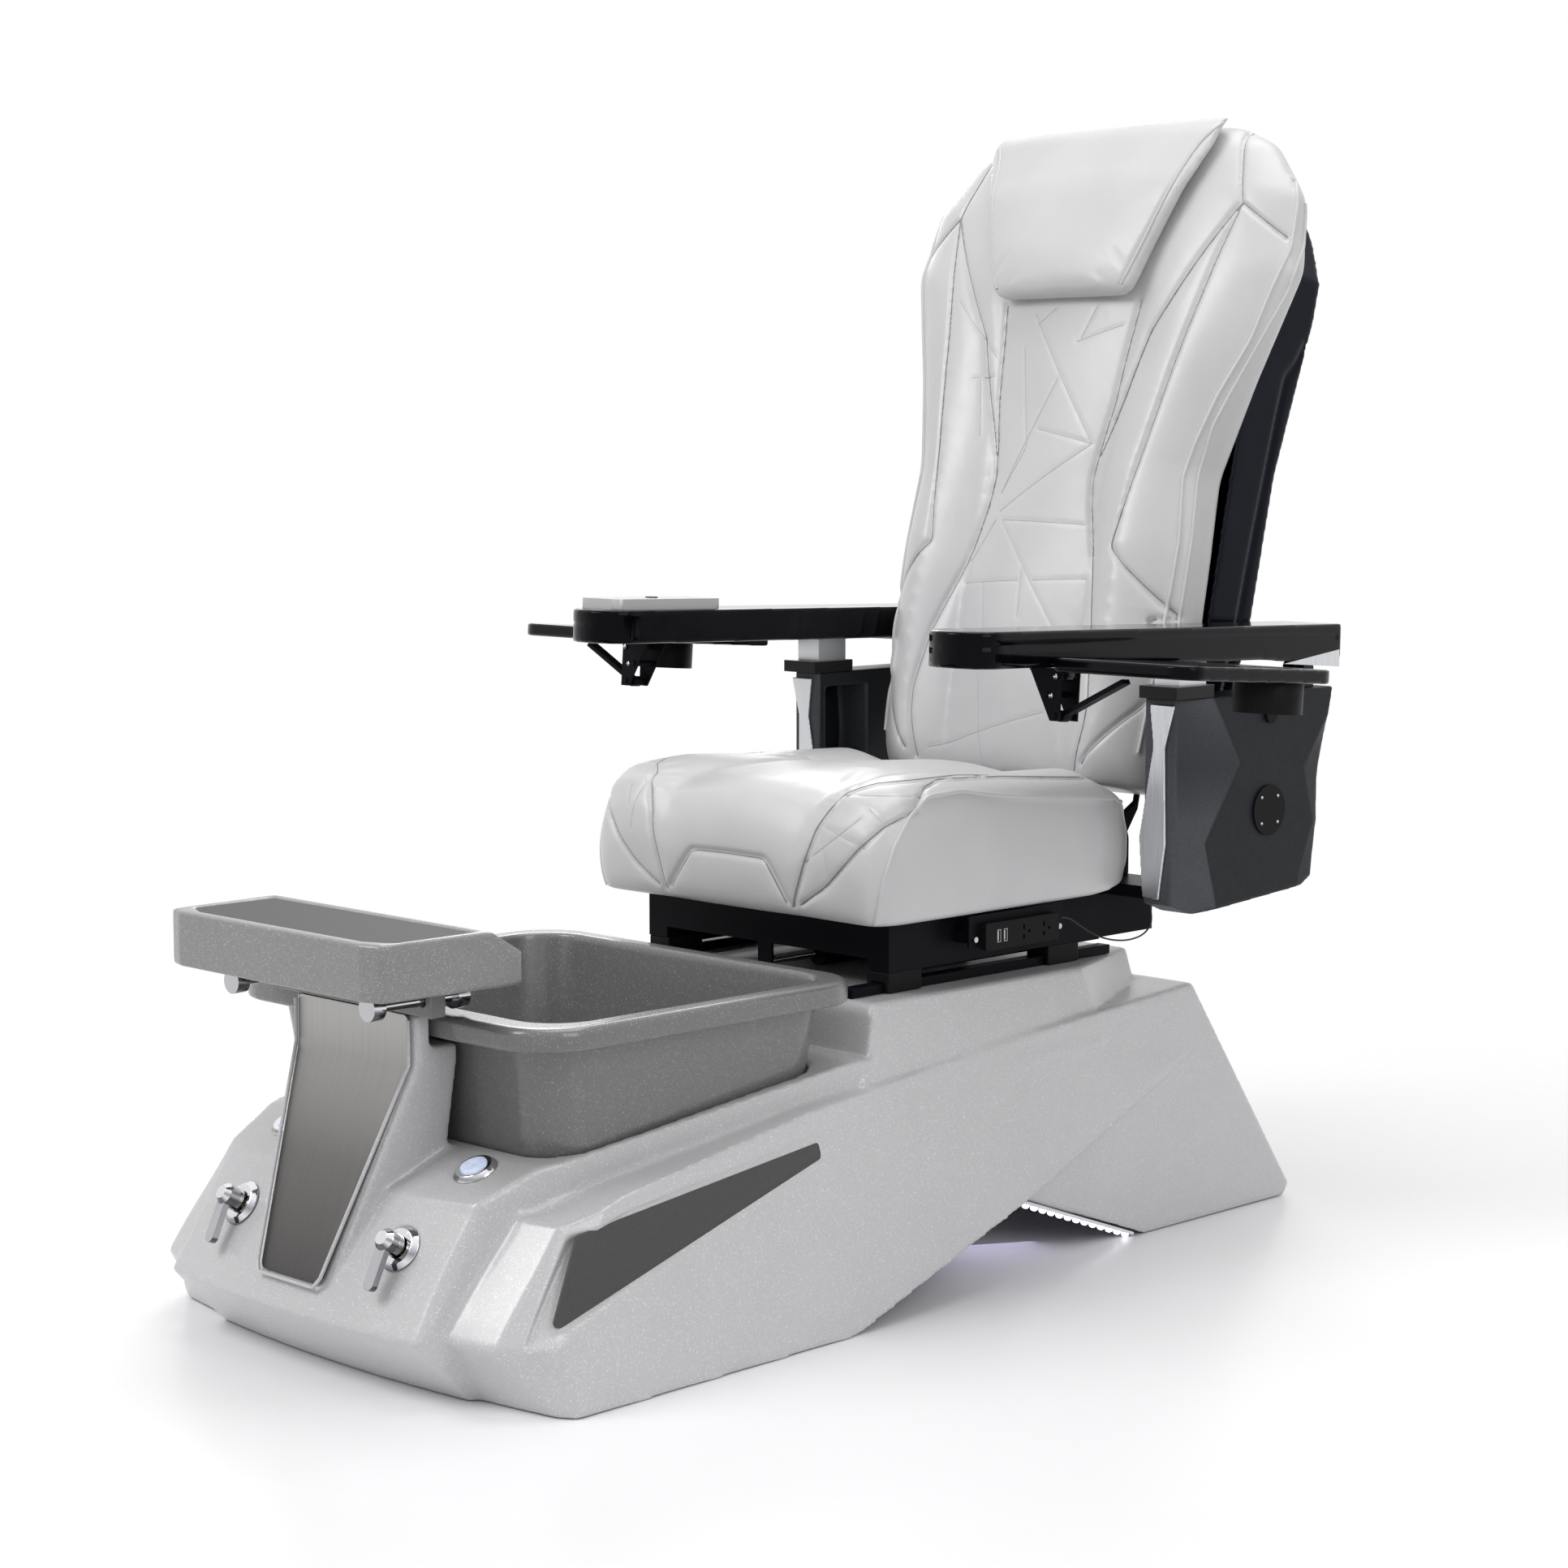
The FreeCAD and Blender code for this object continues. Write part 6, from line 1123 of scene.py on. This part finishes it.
def back_held(places):
    """The back's cover is drawn over the frame behind and lies against the seat below."""
    drawn_in = rise_between(out_from_back(places), *BACK_DRAWN_IN)
    return np.maximum(drawn_in, rise_between(-places[:, 2], *(-level for level in BACK_FOOT)))


EYE_BEFORE_BACK = 0.4


def square_on(point):
    """The sight line to a place straight at the backrest."""
    heading = Vector((0, math.cos(LEAN), -math.sin(LEAN)))
    return point - EYE_BEFORE_BACK * heading, heading


back_seams = [twin for seam in BACK_SEAMS for twin in both_ways(back_run(seam, BACK_SEAMS_OUT))]
back_mesh = skin_of("back_cushion", 0.006, 26)
back_mesh = finer(stuffed(back_mesh, back_seams, 0.014, back_held, square_on))
back_laid = sew(back_mesh, back_seams, 0.0038, 0.0036, 0.003, 0.018, square_on)
back_quilt_laid = sew(back_mesh, BACK_QUILT, 0.0008, 0.0028, sight=square_on)
back_edge_laid = sew(back_mesh, both_ways(BACK_PIPING) + both_ways(BACK_EDGE), -0.0012, 0.004)
back_cover = link_piece("back_cover", back_mesh, leather, "backrest")
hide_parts("back_cushion")
thread_along("back_seams", back_laid, 0.0008, seam_thread_and_shade, "backrest")
thread_along("back_quilting", back_quilt_laid, 0.0005, quilt_thread, "backrest")
thread_along("back_piping", back_edge_laid, 0.0026, leather, "backrest")

# Head pillow: a soft wedge of foam in the same cover, buttoned on over the top
# of the back cushion, with a gusset seam down each side.

PILLOW_DRAWN_IN = (-0.07, -0.05)


def pillow_held(places):
    """The pillow's cover is drawn in behind, where it is buttoned to the backrest."""
    return rise_between(out_from_back(places), *PILLOW_DRAWN_IN)


PILLOW_GUSSET = [
    (0.193, 0.626, 1.440), (0.186, 0.613, 1.430), (0.177, 0.600, 1.416), (0.171, 0.588, 1.400),
    (0.162, 0.573, 1.375), (0.153, 0.561, 1.349), (0.142, 0.549, 1.317), (0.132, 0.540, 1.289),
    (0.121, 0.528, 1.257), (0.110, 0.518, 1.228),
]
PILLOW_CORNER = 0.190
PILLOW_TOP = (1.38, 1.43)
PILLOW_PULL_IN = 0.75
pillow_mesh = skin_of("head_pillow", 0.006, 22)
pillow_places = places_of(pillow_mesh)
beyond_corner = np.maximum(abs(pillow_places[:, 0]) - PILLOW_CORNER, 0)
beyond_corner *= PILLOW_PULL_IN * rise_between(pillow_places[:, 2], *PILLOW_TOP)
set_places(pillow_mesh, pillow_places + sunk_inwards(pillow_places, beyond_corner))
pillow_mesh = finer(stuffed(pillow_mesh, both_ways(PILLOW_GUSSET), 0.012, pillow_held))
pillow_laid = sew(pillow_mesh, both_ways(PILLOW_GUSSET), 0.002, 0.0034, 0.001, 0.012)
pillow_cover = link_piece("pillow_cover", pillow_mesh, leather, "backrest")
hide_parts("head_pillow")
thread_along("pillow_piping", pillow_laid, 0.0022, leather, "backrest")

# Back shell: a deep moulded cover in polished black with a blue cast, screwed to the
# back frame, with a shallow crease down either side.

shell_black = new_finish("shell_black", (0.005, 0.006, 0.011), Roughness=0.16, Specular_IOR_Level=0.07)
shell_haze = mottle(shell_black, 0.05, detail=5)
roughen(shell_black, shell_haze, 0.1, 0.22, 0.25, 0.75)
tint(shell_black, shell_haze, [(0.2, (0.003, 0.004, 0.009)), (0.8, (0.007, 0.008, 0.015))])
SHELL_CREASE = [
    (0.245, 0.745, 1.150), (0.245, 0.724, 1.122), (0.245, 0.703, 1.106), (0.245, 0.686, 1.057),
    (0.245, 0.670, 1.004), (0.245, 0.637, 0.896), (0.245, 0.604, 0.779), (0.245, 0.575, 0.680),
]
shell_mesh = skin_of("back_shell", 0.004, 7)
sew(shell_mesh, both_ways(SHELL_CREASE), 0.003, 0.005)
shell_skin = link_piece("shell_moulding", shell_mesh, shell_black, "backrest")
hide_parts("back_shell")
